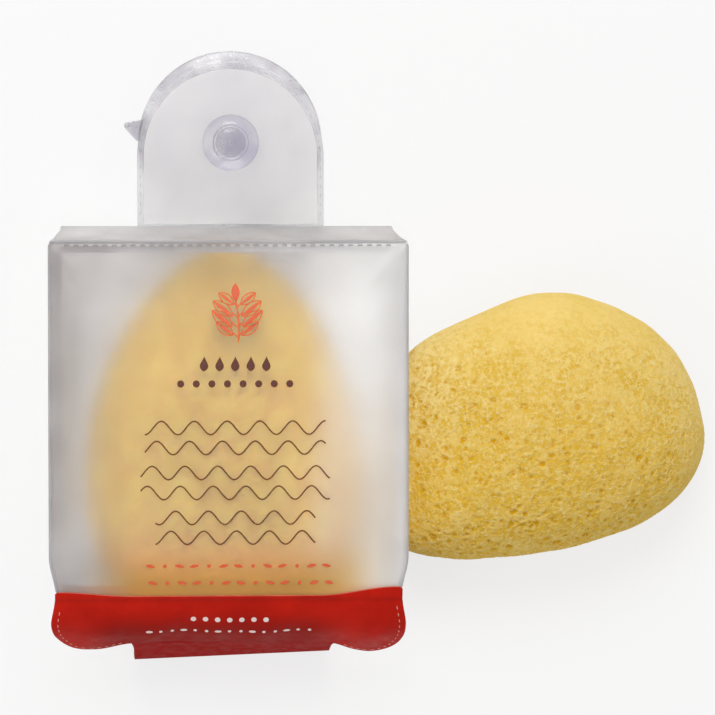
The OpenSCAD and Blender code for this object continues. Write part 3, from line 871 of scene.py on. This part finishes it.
def cup_disc():
    """The cup's disc with two low ridges on it, and its collar below the tab."""
    dome_z = COLLAR_TOP * 0.76
    s = np.linspace(0, 1, 22)
    under = np.column_stack([(CUP_R - 1.6) * s, (dome_z - 1.25) * np.cos(np.pi / 2 * s)])
    rim = [(CUP_R - 0.25, 0.0), (CUP_R, 0.3), (CUP_R, 0.75), (CUP_R - 0.25, 1.0)]
    dome = [mix(CUP_R - 0.45, COLLAR_R, s), 1 + (dome_z - 1) * np.sin(np.pi / 2 * s)]
    over = points_along(np.column_stack(dome), s, np.linspace(0, 1, 90))
    r = over[:, 0]
    over[:, 1] += ridge(r, 20.4, 0.22, 0.28) + ridge(r, 18.6, 0.18, 0.3)
    collar = rounded([over[-1], (COLLAR_R, COLLAR_TOP - 0.5), (COLLAR_R - 0.6, COLLAR_TOP),
                      (NECK_R, COLLAR_TOP)], 0.4)
    profile = np.concatenate([under, rim, over[:-1], collar, [(0.0, COLLAR_TOP)]])
    cup_piece("suction_cup_disc", profile, rubber, ["suction_cup"])


def cup_head():
    """The neck through the tab's hole, and the head with two low rings and a dimple."""
    foot_z, waist_z = COLLAR_TOP - 0.3, HEAD_Z + 1.7
    neck = rounded([(NECK_R, foot_z), (NECK_R, HEAD_Z), (HEAD_R - 1.01, HEAD_Z),
                    (HEAD_R, waist_z - 0.5), (HEAD_R, waist_z)], 0.4)
    a = np.linspace(0.12, 1.52, 48)
    r = HEAD_R * np.cos(a)
    rings = ridge(r, 4.1, 0.16, 0.32) + ridge(r, 2.5, 0.12, 0.26) - ridge(r, 0, 0.2, 0.8)
    dome = np.column_stack([r, waist_z + (HEAD_H - 1.75) * np.sin(a) + rings])
    top = (0.0, HEAD_Z + HEAD_H - 0.12)
    cup_piece("suction_cup_head", np.concatenate([[(0.0, foot_z)], neck, dome, [top]]), rubber_thick)


# Outline of the release tab, as it points to the cup's right
RELEASE_TAB = ((20.9, -2.9), (22.3, -2.6), (24.4, -1.9), (25.8, -1.3), (26.25, -0.75),
               (26.1, -0.2), (25.4, 0.5), (24.2, 1.5), (22.8, 2.6), (20.9, 2.9))


def release_tab():
    """Small tab at the cup's rim, with a bead to grip."""
    turn = math.radians(172)
    c, s = math.cos(turn), math.sin(turn)
    outline = np.array(RELEASE_TAB) @ [[c, s], [-s, c]] + [TAB_X, TAB_REACH]
    pull = outline_plate("release_tab", [outline], 0.0, 1.0, 0.2)
    bead_x, bead_y = outline[3:6].mean(0) + [0.45, -0.05]
    grip = outline_plate("release_bead", [circle(bead_x, bead_y, 0.72, 32)], 0.4, 1.7, 0.3)
    for obj in (pull, grip):
        finished(obj, rubber, "cup")


hanger()
cup_disc()
cup_head()
release_tab()


# Closure flap and tongue
def flap_at(run, lift=0.0):
    """Side view of the flap: the front's bend, and straight on from where the flap turns."""
    front_y, front_z = front_at(np.minimum(run, TURN_RUN), lift)
    turn_y, turn_z = front_at(TURN_RUN)
    on = run - TURN_RUN
    c, s = math.cos(FLAP_ANGLE), math.sin(FLAP_ANGLE)
    y = np.where(run < TURN_RUN, front_y, turn_y - on * c - lift * s)
    z = np.where(run < TURN_RUN, front_z, turn_z - on * s + lift * c)
    return y, z


def flap_edge(x, inset):
    """Run of the flap's free edge: notches beside the tongue, and round lobes outside them."""
    from_tongue = np.maximum(np.abs(x - TONGUE_X) - TONGUE_HALF, 0)
    lobe_start = FLAP_HALF - LOBE_R
    swell = smooth(from_tongue / (lobe_start - TONGUE_HALF))
    round_x = np.minimum(np.maximum(np.abs(x) - lobe_start, 0) / (LOBE_R - inset), 1)
    rounding = LOBE_CORNER_L * (1 - np.sqrt(np.maximum(0, 1 - round_x ** 2)))
    lobe = LOBE_RUN + LOBE_SKEW * np.sign(x)
    # The crease lies a little aslant, as the tongue does
    notch = NOTCH_RUN - 0.7 + 0.9 * x / TONGUE_HALF
    return TURN_RUN + mix(notch, lobe, swell) - rounding - inset


def flap_spread(run):
    """The flap swells from its waist at the seam to its full width."""
    return 1 - FLAP_WAIST / FLAP_HALF * (1 - smooth((run - SEAM_RUN) / LOBE_R))


def flap_top(x):
    """Run of the flap's upper edge: it climbs a little at both ends, more on the right."""
    return SEAM_RUN - 0.15 - 1.0 * smooth((-x - 24) / 18) - 2.0 * smooth((x - 22) / 19)


def lap_at(run):
    """The flap rises over the front film at its seam."""
    return FLAP_LAP * smooth((SEAM_RUN + 1.4 - run) / 1.4)


def puff_at(x, run):
    """Soft swell of the flap between its seams."""
    across = np.clip((run - SEAM_RUN) / 24, 0, 1)
    lobes = smooth((np.abs(x - TONGUE_X) - 20) / 12)
    wave = 0.25 * np.sin(0.21 * x + 0.5) + 0.16 * np.sin(0.47 * x + 0.3 * run)
    return np.sin(np.pi * across) * (0.35 + 0.45 * lobes + wave)


def flap_point(x, run, lift):
    return points_at(x * flap_spread(run), *flap_at(run, lift))


def flap_grid(inset, lift, columns=150, rows=46):
    half = FLAP_HALF - inset
    x = mix(-half, half, crowd(columns))[None, :]
    v = np.linspace(0, 1, rows)[:, None]
    run = mix(flap_top(x) + inset, flap_edge(x, inset), v)
    return flap_point(x, run, lift + lap_at(run) + puff_at(x, run))


def tongue_line():
    """The tongue's side view from inside the flap over its crease and fold to its end."""
    start = flap_at(TURN_RUN + NOTCH_RUN - 3.5)
    crease_y, crease_z = flap_at(TURN_RUN + NOTCH_RUN)
    fold_z = UNDER_Z + FOLD_R
    slope_end_z = fold_z + FOLD_R * math.cos(TONGUE_SLOPE)
    slope_end_y = crease_y - (crease_z - slope_end_z) / math.tan(TONGUE_SLOPE)
    fold_y = slope_end_y + FOLD_R * math.sin(TONGUE_SLOPE)
    t = np.linspace(0.1, 1, 8)
    slope = np.column_stack([mix(crease_y, slope_end_y, t), mix(crease_z, slope_end_z, t)])
    turn = mix(math.pi / 2 + TONGUE_SLOPE, 1.5 * math.pi, np.linspace(0, 1, 9)[1:])
    end = (fold_y + TONGUE_L, UNDER_Z)
    line = [[start, (crease_y, crease_z)], slope, arc(fold_y, fold_z, FOLD_R, turn), [end]]
    return np.concatenate(line), float(fold_y)


def tongue_sheet(inset, low_lift, high_lift):
    """Film of the tongue between two lifts, at an inset from its edges."""
    line, _ = tongue_line()
    run = lengths_along(line)
    s = np.linspace(0, run[-1] - inset, 110)
    y, z = points_along(line, run, s).T
    tangent_y, tangent_z = unit(np.column_stack([np.gradient(y), np.gradient(z)])).T
    corner = np.maximum(TONGUE_CORNER_R - (s[-1] - s), 0)
    shrink = TONGUE_CORNER_R - np.sqrt(np.maximum(TONGUE_CORNER_R ** 2 - corner ** 2, 0))
    # It is widest at the crease and drawn in where it folds
    neck = 0.9 * smooth((9 - s) / 9) - 0.15 * np.exp(-((s - 17.6) / 3) ** 2)
    half = TONGUE_HALF - inset - shrink + neck
    share = np.linspace(-1, 1, 60)[None, :]
    # The fold lies a little aslant, lower on the left
    slant = 0.95 * smooth((s - 3.5) / 12) * smooth((run[-1] - TONGUE_L + 4 - s) / 6)
    # Its start is thinned where it lies inside the flap
    tuck = 0.3 * smooth((3.2 - s) / 1.4)
    grids = []
    for lift in (low_lift, high_lift - tuck):
        lifted_y = (y + tangent_z * lift)[:, None] + slant[:, None] * share
        lifted_z = (z - tangent_y * lift)[:, None]
        grids.append(points_at(TONGUE_X + half[:, None] * share, lifted_y, lifted_z))
    return sheet_mesh(*grids)


def blended_at_seam(obj):
    """Bakes the piece's placement into its mesh."""
    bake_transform(obj)


def flap_films():
    parts = sheet_mesh(flap_grid(0.0, 0.0), flap_grid(0.0, FLAP_T))
    outer = piece("flap_outer", parts, red, None, ["closure_flap"])
    # Painted shade: the film is darker where it bends down and away to the tongue
    x, y, _ = parts[0].T
    point_share(outer, "shade", smooth((-y - 91.3) / 6.5) * smooth((34 - np.abs(x + 4)) / 12))
    blended_at_seam(outer)
    parts = sheet_mesh(flap_grid(LINING_INSET, -LINING_T - LAYER_GAP), flap_grid(LINING_INSET, -LAYER_GAP))
    piece("flap_inner", parts, red_inside, "flap", ["flap_lining"])


def tongue_films():
    outer = piece("tongue_outer", tongue_sheet(0.0, 0.0, FLAP_T), red_tongue_shaded, None,
                  ["closure_tongue"])
    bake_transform(outer)
    parts = tongue_sheet(LINING_INSET, -LINING_T - LAYER_GAP, -LAYER_GAP)
    inner = piece("tongue_inner", parts, red_inside, None, ["tongue_lining"])
    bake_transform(inner)


def lobe_line(side, gap, inset, end_run):
    """x and run along a lobe's free edge, from beside the tongue up to near the seam."""
    outer = side * (FLAP_HALF - inset)
    x = mix(TONGUE_X + side * (TONGUE_HALF + gap), outer, np.sin(np.linspace(0, np.pi / 2, 260)))
    run = flap_edge(x, inset)
    up = np.linspace(run[-1], end_run, 60)[1:]
    return np.append(x, np.full(len(up), outer)), np.append(run, up)


def rolled_edge():
    """Rolled edge round the flap's lobes."""
    parts = []
    for side in (-1, 1):
        x, run = lobe_line(side, 0.3, 0.0, flap_top(side * FLAP_HALF) + 0.3)
        path = flap_point(x, run, 0.1 + lap_at(run) + puff_at(x, run))
        parts.append(tube_mesh(path, WELT_R, 10))
    blended_at_seam(piece("flap_rolled_edge", joined(parts), red, None))


def flap_stitches():
    parts = []
    for side in (-1, 1):
        x, run = lobe_line(side, 2.0, 1.15, SEAM_RUN + 2.2)
        path, over = (flap_point(x, run, lift + puff_at(x, run)) for lift in (FLAP_T, FLAP_T + 1))
        parts.append(stitches(path, 1.0, 1.95, 0.13, over - path))
    piece("flap_stitches", joined(parts), pink_thread, "flap")


def flap_cut_edge():
    """Pale cut edge where the flap meets the film."""
    x = np.linspace(-FLAP_HALF + 0.2, FLAP_HALF - 0.2, 200)
    path = flap_point(x, flap_top(x) + 0.02, 0.82)
    piece("flap_cut_edge", tube_mesh(path, 0.17, 8), pink_edge, "pouch")


flap_films()
tongue_films()
rolled_edge()
flap_stitches()
flap_cut_edge()


# Hook and loop patches
def patch_outline(y):
    half_l, half_w = (half - PATCH_CORNER_R for half in PATCH_HALVES)
    quarter = np.linspace(0, np.pi / 2, 6)
    corners = ((1, 1), (-1, 1), (-1, -1), (1, -1))
    return np.concatenate([arc(TONGUE_X + sx * half_l, y + sy * half_w, PATCH_CORNER_R,
                               quarter + k * np.pi / 2) for k, (sx, sy) in enumerate(corners)])


def pile(y, foot_z, up, rng):
    """Rows of small hooks or loops that stand on a patch."""
    t = np.linspace(0, 1, 5)
    parts = []
    for gx in np.arange(-8.2, 8.3, 0.82):
        for gy in np.arange(-4.7, 4.8, 0.72):
            jitter = rng.uniform(-0.1, 0.1, 2)
            path = points_at(TONGUE_X + gx + jitter[0] + 0.16 * np.sin(np.pi * t),
                             y + gy + jitter[1] + 0.2 * (t - 0.5),
                             foot_z + up * 0.42 * np.sin(np.pi * (0.08 + 0.72 * t)))
            parts.append(tube_mesh(path, 0.075, 4))
    return joined(parts)


def patches():
    """A patch under the tongue and one on the back, each a tape with its pile."""
    low, high = in_pouch(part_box("loop_patch"))
    y = (low[1] + high[1]) / 2
    rng = np.random.default_rng(7)
    for name, node, body, base_low, up, material, slot in (
            ("hook_tape_patch", "hook_patch", "tongue", 4.8, 1, hook_tape, "hook_tape"),
            ("loop_tape_patch", "loop_patch", "pouch", 6.2, -1, loop_tape, "loop_tape")):
        base_high = base_low + 0.3
        base = outline_plate(name, [patch_outline(y)], base_low, base_high, 0.08)
        finished(base, material, body, [node])
        foot_z = base_high if up > 0 else base_low
        piece(name + "_pile", pile(y, foot_z, up, rng), material, body)


patches()


# Generic print, with its places in the photograph in pixels
PRINT_X = 235
SPRIG_TOP, SPRIG_FOOT = 286, 342
DROPS_Y, DOTS_Y = 363, 383
# Height in the photograph and reach in millimetres of each wavy line
RIPPLES = ((427, 21.5), (447, 21.5), (472, 22.5), (492, 22.5), (517, 19.0), (537, 19.0))
MARKS_X = 238
MARK_ROWS = (566, 583)


def x_at(pixel_x):
    """x on the front film of a column of the photograph."""
    return (pixel_x - PHOTO_MIDDLE) * PIXEL_ON_FRONT + FRONT_SHIFT[0] + TARGET[0] - ORIGIN[0] / MM


def run_at(pixel_y):
    """Run from the top seam of a row of the photograph, on the flat front."""
    y = (PHOTO_MIDDLE - pixel_y) * PIXEL_ON_FRONT + FRONT_SHIFT[1] + TARGET[1] - ORIGIN[1] / MM
    return -y - TOP_LEAN


def blob(x, run, length, width, angle, shape="leaf"):
    """Leaf, drop or dot as a strip: its centre line and half widths."""
    t = np.linspace(0, 1, 12)
    way = [math.cos(math.radians(angle)), math.sin(math.radians(angle))]
    centre = [x, run] + (t - 0.5)[:, None] * length * np.array(way)
    if shape == "leaf":
        half = np.sin(np.pi * t) ** 0.8
    elif shape == "drop":
        half = np.sin(np.pi * t ** 1.7) ** 0.75
    else:
        half = np.sqrt(np.maximum(0, 1 - (2 * t - 1) ** 2))
    return centre, np.maximum(width / 2 * half, 0.01)


def stroke(points, width, steps=24):
    """Line of a brush through points, narrow at both ends, as a strip."""
    t = np.linspace(0, 1, steps)
    taper = np.minimum(1, np.minimum(t, 1 - t) * 10 + 0.25)
    return points_along(points, np.linspace(0, 1, len(points)), t), width / 2 * taper


def strip_on_front(centre, half_widths):
    """Closed flat strip on the front film from its (x, run) centre line and half widths."""
    tangent = unit(np.gradient(centre, axis=0))
    normal = np.stack([-tangent[:, 1], tangent[:, 0]], 1)
    reach = half_widths[:, None] * np.linspace(-1, 1, 5)[None, :]
    flat = centre[:, None, :] + normal[:, None, :] * reach[..., None]
    low, high = (front_surface(flat[..., 0], flat[..., 1], FILM_T + lift) for lift in (0.02, 0.09))
    return sheet_mesh(low, high)


def printed(name, strips, material):
    pouch_piece(name, joined([strip_on_front(*strip) for strip in strips]), material)


def sprig_leaf(x, run, side, reach, size):
    """One leaf with its vein, its two outlines and its stalk."""
    lean = -38 if side > 0 else 218
    centre, half = blob(x + side * reach + 0.5, run - 1.0, size * 1.25, size * 0.48, lean)
    across = np.array([-math.sin(math.radians(lean)), math.cos(math.radians(lean))])
    strips = [(centre, half * 0.45)]
    for turn in (-1, 1):
        strips.append((centre + across * turn * (half * 1.25)[:, None], np.full(len(half), 0.13)))
    strips.append(stroke([(x + 0.6, run + 1.0), (x + side * reach * 0.4 + 0.5, run - 0.2)], 0.3, 8))
    return strips


def sprig():
    x, top, foot = x_at(PRINT_X), run_at(SPRIG_TOP), run_at(SPRIG_FOOT)
    t = np.linspace(0, 1, 20)
    strips = [stroke(np.column_stack([x + 0.9 * np.sin(2.2 * t), mix(top + 2.5, foot, t)]), 0.42)]
    for level, reach, size in ((0.2, 2.6, 3.6), (0.4, 3.4, 4.6), (0.6, 3.6, 4.8), (0.8, 3.0, 4.0)):
        for side in (-1, 1):
            strips += sprig_leaf(x, mix(top + 1.5, foot, level), side, reach, size)
    strips.append(blob(x + 0.1, top + 1.4, 4.4, 2.0, -92))
    printed("print_sprig", strips, orange_ink)


def drops():
    """A row of drops, and a row of dots below it."""
    x, pitch = x_at(PRINT_X), 3.7
    strips = [blob(x + (k - 2) * pitch, run_at(DROPS_Y), 3.6, 2.0, 92, "drop") for k in range(5)]
    strips += [blob(x + (k - 3.5) * pitch, run_at(DOTS_Y), 1.7, 1.7, 0, "dot") for k in range(8)]
    printed("print_drops", strips, brown_ink)


def ripples():
    strips = []
    for row, (level, reach) in enumerate(RIPPLES):
        x = np.linspace(-reach, reach, 130)
        wave = run_at(level) + 1.6 * np.sin(2 * np.pi * x / 7.8 + row * 0.9)
        strips.append((np.column_stack([x_at(PRINT_X) + x, wave]), np.full(len(x), 0.17)))
    printed("print_ripples", strips, brown_ink)


def orange_marks():
    """Two rows of small leaves and dots."""
    strips = []
    for row, level in enumerate(MARK_ROWS):
        for k in range(13):
            x = x_at(MARKS_X) + (k - 6) * 3.5 + row * 0.6
            if k % 3 == 1:
                strips.append(blob(x, run_at(level), 0.9, 0.9, 0, "dot"))
            else:
                strips.append(blob(x, run_at(level), 2.4, 0.8, 12 - 24 * (k % 2)))
    printed("print_orange_marks", strips, orange_ink)


def flap_marks():
    """White dots and dashes on the flap. Each row has a count, pitch, run, size and dash."""
    rows = ((7, 2.9, SEAM_RUN + 6.3, 1.35, 1.0), (15, 2.75, SEAM_RUN + 10.4, 0.85, 2.0))
    parts = []
    for count, pitch, run, size, dash in rows:
        for k in range(count):
            middle = TONGUE_X - 1.0 + (k - (count - 1) / 2) * pitch
            centre, half = blob(middle, run, size if k % 3 else size * dash, size, 0, "dot")
            x = centre[:, :1]
            runs = centre[:, 1:] + half[:, None] * np.linspace(-1, 1, 5)[None, :]
            low, high = (points_at(x, *flap_at(runs, lift + puff_at(x, runs)))
                         for lift in (FLAP_T + 0.02, FLAP_T + 0.08))
            parts.append(sheet_mesh(low, high))
    piece("flap_marks", joined(parts), white_ink, "flap")


sprig()
drops()
ripples()
orange_marks()
flap_marks()


# Sponges
def hashed(cells, seed):
    """Four even random shares for each whole-numbered cell."""
    c = cells.astype(np.int64)
    h = (c[..., 0] * 73856093) ^ (c[..., 1] * 19349663) ^ (c[..., 2] * 83492791) ^ (seed * 2654435761)
    out = []
    for k in range(4):
        h = (h ^ (h >> 15)) * 2246822519
        h = (h ^ (h >> 13)) * 3266489917 + k
        h = h & 0xFFFFFFFFFFFF
        out.append(((h >> 8) & 0xFFFF) / 65535.0)
    return np.stack(out, -1)


def foam_cells(points, size, seed):
    """Distance from the nearest wall between foam cells, and a random share for each cell."""
    scaled = points / size
    base = np.floor(scaled).astype(np.int64)
    nearest = np.full(len(points), 9.0)
    second = np.full(len(points), 9.0)
    share = np.zeros(len(points))
    for step in np.ndindex(3, 3, 3):
        cell = base + np.array(step) - 1
        r = hashed(cell, seed)
        distance = np.linalg.norm(scaled - (cell + r[:, :3]), axis=1)
        closer = distance < nearest
        second = np.where(closer, nearest, np.minimum(second, distance))
        nearest = np.where(closer, distance, nearest)
        share = np.where(closer, r[:, 3], share)
    return (second - nearest) / 2, share


def remeshed(name, parts, voxel):
    """Object of a closed form, meshed evenly by a size in millimetres."""
    verts, faces = parts
    obj = new_object(name, placed(verts), faces)
    modifier = obj.modifiers.new("even", "REMESH")
    modifier.mode = "VOXEL"
    modifier.voxel_size = voxel * MM
    modifier.use_smooth_shade = True
    rough = obj.data
    mesh = evaluated_mesh(obj)
    obj.modifiers.clear()
    obj.data = mesh
    bpy.data.meshes.remove(rough)
    mesh.name = name
    return obj


def mesh_arrays(mesh):
    """Points and normals of a mesh."""
    co = np.zeros(len(mesh.vertices) * 3)
    mesh.vertices.foreach_get("co", co)
    normal = np.zeros(len(mesh.vertices) * 3, np.float32)
    mesh.vertices.foreach_get("normal", normal)
    return co.reshape(-1, 3), normal.reshape(-1, 3).astype(float)


def foam(obj, coarse, calm, depths, swell=0.25):
    """Sinks pores into a sponge's mesh. coarse and calm give its points' large pores and skin."""
    mesh = obj.data
    co, normal = mesh_arrays(mesh)
    p = in_pouch(co)
    x, y, z = p.T
    lumps = (np.sin(0.23 * x + 0.7) * np.sin(0.27 * y + 1.9) * np.sin(0.31 * z + 0.4)
             + 0.5 * np.sin(0.53 * x - 0.41 * y + 0.2))
    wall, share = foam_cells(p, 2.3, 3)
    big = smooth((wall - 0.05) / 0.3) * (share > 0.6) * coarse
    wall, share = foam_cells(p, 1.5, 5)
    middle = smooth((wall - 0.03) / 0.27) * (0.25 + 0.75 * share) * (0.4 + 0.6 * coarse)
    wall, share = foam_cells(p, 1.05, 8)
    small = smooth((wall - 0.03) / 0.25) * (0.3 + 0.7 * share)
    sunk = np.maximum(big * depths[0], np.maximum(middle * depths[1], small * depths[2]))
    depth = sunk * (1 - 0.75 * calm)
    co = co + normal * ((-depth + swell * (lumps * 0.5 - 0.5))[:, None] * MM)
    mesh.vertices.foreach_set("co", co.ravel())
    for name, values in (("pore", depth / depths[0]), ("skin", calm), ("coarse", coarse)):
        point_share(obj, name, values)
    mesh.update()


def smooth_loop(points, t):
    """Places t, from 0 to 1, on the smooth closed curve through points."""
    n = len(points)
    i = np.floor(t * n).astype(int)
    f = (t * n - i)[:, None]
    p0, p1, p2, p3 = (points[(i + k) % n] for k in (-1, 0, 1, 2))
    return (p1 + f * (p2 - p0) / 2 + f * f * (p0 - 2.5 * p1 + 2 * p2 - p3 / 2)
            + f ** 3 * (1.5 * p1 - p0 / 2 - 1.5 * p2 + p3 / 2))


# Outline of the loose sponge from above, as shares of its half length and half width
SPONGE_OUTLINE = np.array([
    [-0.81, 0.57], [-0.43, 0.825], [0.01, 1], [0.453, 0.885], [0.82, 0.55], [1, -0.03],
    [0.894, -0.458], [0.602, -0.74], [0.16, -0.923], [-0.28, -0.997], [-0.7, -0.985],
    [-0.95, -0.82], [-1, -0.25], [-0.955, 0.24]])


def loose_levels(height):
    """Height, share of the outline and lean of each level, from the flat foot to the top."""
    for t in np.linspace(0, 1, 22)[:-1]:
        quarter = math.pi / 2 * t
        yield SPONGE_WIDEST_Z * (1 - math.cos(quarter)), mix(0.6, 1, math.sin(quarter)), 0.0
    last = 88
    for t in np.linspace(0, 1, 48):
        a = math.radians(last * t)
        rise = (height - SPONGE_WIDEST_Z) * math.sin(a) / math.sin(math.radians(last))
        yield SPONGE_WIDEST_Z + rise, math.cos(a) ** (2 / 2.2), math.sin(a)


def loose_sponge():
    high = in_pouch(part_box("loose_sponge")[1])
    middle_x = high[0] - SPONGE_L / 2
    around = smooth_loop(SPONGE_OUTLINE, 1 - np.arange(240) / 240)
    rings = []
    for z, share, lean in loose_levels(high[2]):
        x, y = (around * share + np.array([0.03, -0.03]) * lean).T
        rings.append(points_at(middle_x + x * SPONGE_L / 2, SPONGE_Y + y * SPONGE_W / 2, z))
    obj = remeshed("sponge_loose", capped_rings(rings), 0.42)
    x, y, _ = in_pouch(mesh_arrays(obj.data)[0]).T
    x, y = (x - middle_x) / (SPONGE_L / 2), (y - SPONGE_Y) / (SPONGE_W / 2)
    coarse = smooth(0.8 - 0.35 * x - 0.75 * y)
    calm = np.maximum(smooth((y - 0.42) / 0.5), smooth((x * 0.9 + np.abs(y) * 0.5 - 0.8) / 0.3))
    foam(obj, coarse, calm, (0.5, 0.45, 0.26))
    # Painted light: the sponge is lighter beside the pouch, lifting the side the pouch shades
    point_share(obj, "painted_lift", 0.5 * smooth((-x - 0.3) / 0.5) * smooth((y + 0.35) / 0.5))
    finished(obj, sponge_foam, "loose_sponge", ["loose_sponge"])


def packed_rings():
    """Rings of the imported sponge: an egg's narrow end above, and square shoulders at the mouth."""
    length, half_w, shift = 85.0, 34.0, -0.8
    wide = length * 0.665
    low_z, high_z = FILM_T + 0.4, FRONT_Z + CROWN - 0.4
    mid_z, half_h = (low_z + high_z) / 2, (high_z - low_z) / 2
    a = 2 * np.pi * np.arange(200) / 200
    upper = a < np.pi
    x = half_w * np.sign(np.cos(a)) * np.abs(np.cos(a)) ** (2 / np.where(upper, 1.6, 3.2))
    y = np.where(upper, wide * np.sin(a), -(length - wide) * np.abs(np.sin(a)) ** (2 / 3.2))
    to_mouth = np.maximum(0, -y) / (length - wide)
    rings = []
    for k in range(60):
        level = math.radians(mix(-90, 90, (k + 0.6) / 60.2))
        share = max(math.cos(level), 1e-4) ** (2 / 2.3)
        full = max(math.cos(level), 1e-4) ** (2 / 2.8) if level > 0 else share
        under = max(0, -math.sin(level))
        lean = BEND_R * 0.18 * max(0, math.sin(level)) * to_mouth
        down = np.where(y < 0, full, share)
        rings.append(points_at(shift + x * share, -4.5 - wide + y * down + 8.5 * under * under - lean,
                               mid_z + half_h * (math.sin(level) + under * 0.35 * to_mouth)))
    return rings


def packed_sponge():
    obj = remeshed("sponge_packed", capped_rings(packed_rings()), 0.5)
    y = in_pouch(mesh_arrays(obj.data)[0])[:, 1]
    foam(obj, 0.1 + 0.9 * smooth((-y - 66) / 24), np.full(len(y), 0.1), (0.7, 0.6, 0.3), 0.2)
    finished(obj, sponge_inside, "packed_sponge", ["packed_sponge"])


loose_sponge()
packed_sponge()


# Floor, light and camera
def floor():
    """Pale floor, which the camera sees nearly white."""
    reach, z = 1.6, -0.0001
    corners = [(x * reach, y * reach, z) for x, y in ((-1, -1), (1, -1), (1, 1), (-1, 1))]
    mesh = bpy.data.meshes.new("floor")
    mesh.from_pydata(corners, [], [(0, 1, 2, 3)])
    n = Nodes("floor", 0.9, Base_Color=(0.86, 0.86, 0.86, 1), Specular_IOR_Level=0.0)
    white = n.add("Emission", {"Color": (1, 1, 1, 1)})
    seen = n.times(n.add("LightPath", {}).outputs["Is Camera Ray"], 0.72)
    mixed_surface(n.tree, seen, n.shader.outputs[0], white.outputs[0], n.output)
    mesh.materials.append(n.material)
    shown("floor", mesh)


def world():
    """Soft light all round, brighter to the camera, in reflections and through clear film."""
    made = bpy.data.worlds.new("studio")
    bpy.context.scene.world = made
    made.use_nodes = True
    tree = made.node_tree
    tree.nodes.clear()
    output = tree.nodes.new("ShaderNodeOutputWorld")
    backgrounds = []
    for white, strength in ((1.0, 0.5), (0.8, 1.0)):
        background = tree.nodes.new("ShaderNodeBackground")
        background.inputs["Color"].default_value = (white, white, white, 1)
        background.inputs["Strength"].default_value = strength
        backgrounds.append(background.outputs[0])
    path = tree.nodes.new("ShaderNodeLightPath")
    seen = path.outputs["Is Camera Ray"]
    for ray in ("Is Glossy Ray", "Is Transmission Ray"):
        either = tree.nodes.new("ShaderNodeMath")
        either.operation = "MAXIMUM"
        tree.links.new(seen, either.inputs[0])
        tree.links.new(path.outputs[ray], either.inputs[1])
        seen = either.outputs[0]
    mixed_surface(tree, seen, *backgrounds, output)


def lamp(name, place, size, power):
    """Round soft lamp that shines at the middle of the object."""
    data = bpy.data.lights.new(name, "AREA")
    data.shape = "DISK"
    data.size = size
    data.energy = power
    obj = shown(name, data)
    obj.location = place
    obj.rotation_mode = "QUATERNION"
    obj.rotation_quaternion = (-Vector(place)).to_track_quat("-Z", "Y")


def camera():
    """Camera a metre above the object, a little aslant as in the photograph."""
    left, up = math.sin(math.radians(3)), math.sin(math.radians(2.5))
    back = Vector((-left, up, 1)).normalized()
    right = Vector((0, 1, 0)).cross(back).normalized()
    data = bpy.data.cameras.new("camera")
    data.sensor_width = 36
    data.lens = 204.1
    data.clip_start = 0.05
    data.clip_end = 10
    obj = shown("camera", data)
    obj.location = Vector((*TARGET, 0)) * MM + back
    obj.rotation_mode = "QUATERNION"
    obj.rotation_quaternion = Matrix((right, back.cross(right), back)).transposed().to_quaternion()
    bpy.context.scene.camera = obj


floor()
world()
lamp("key", (-0.05, 0.62, 0.8), 0.6, 4.9)
lamp("side", (-0.4, -0.3, 0.55), 0.4, 0.7)
camera()
bpy.context.scene.view_settings.view_transform = "Standard"
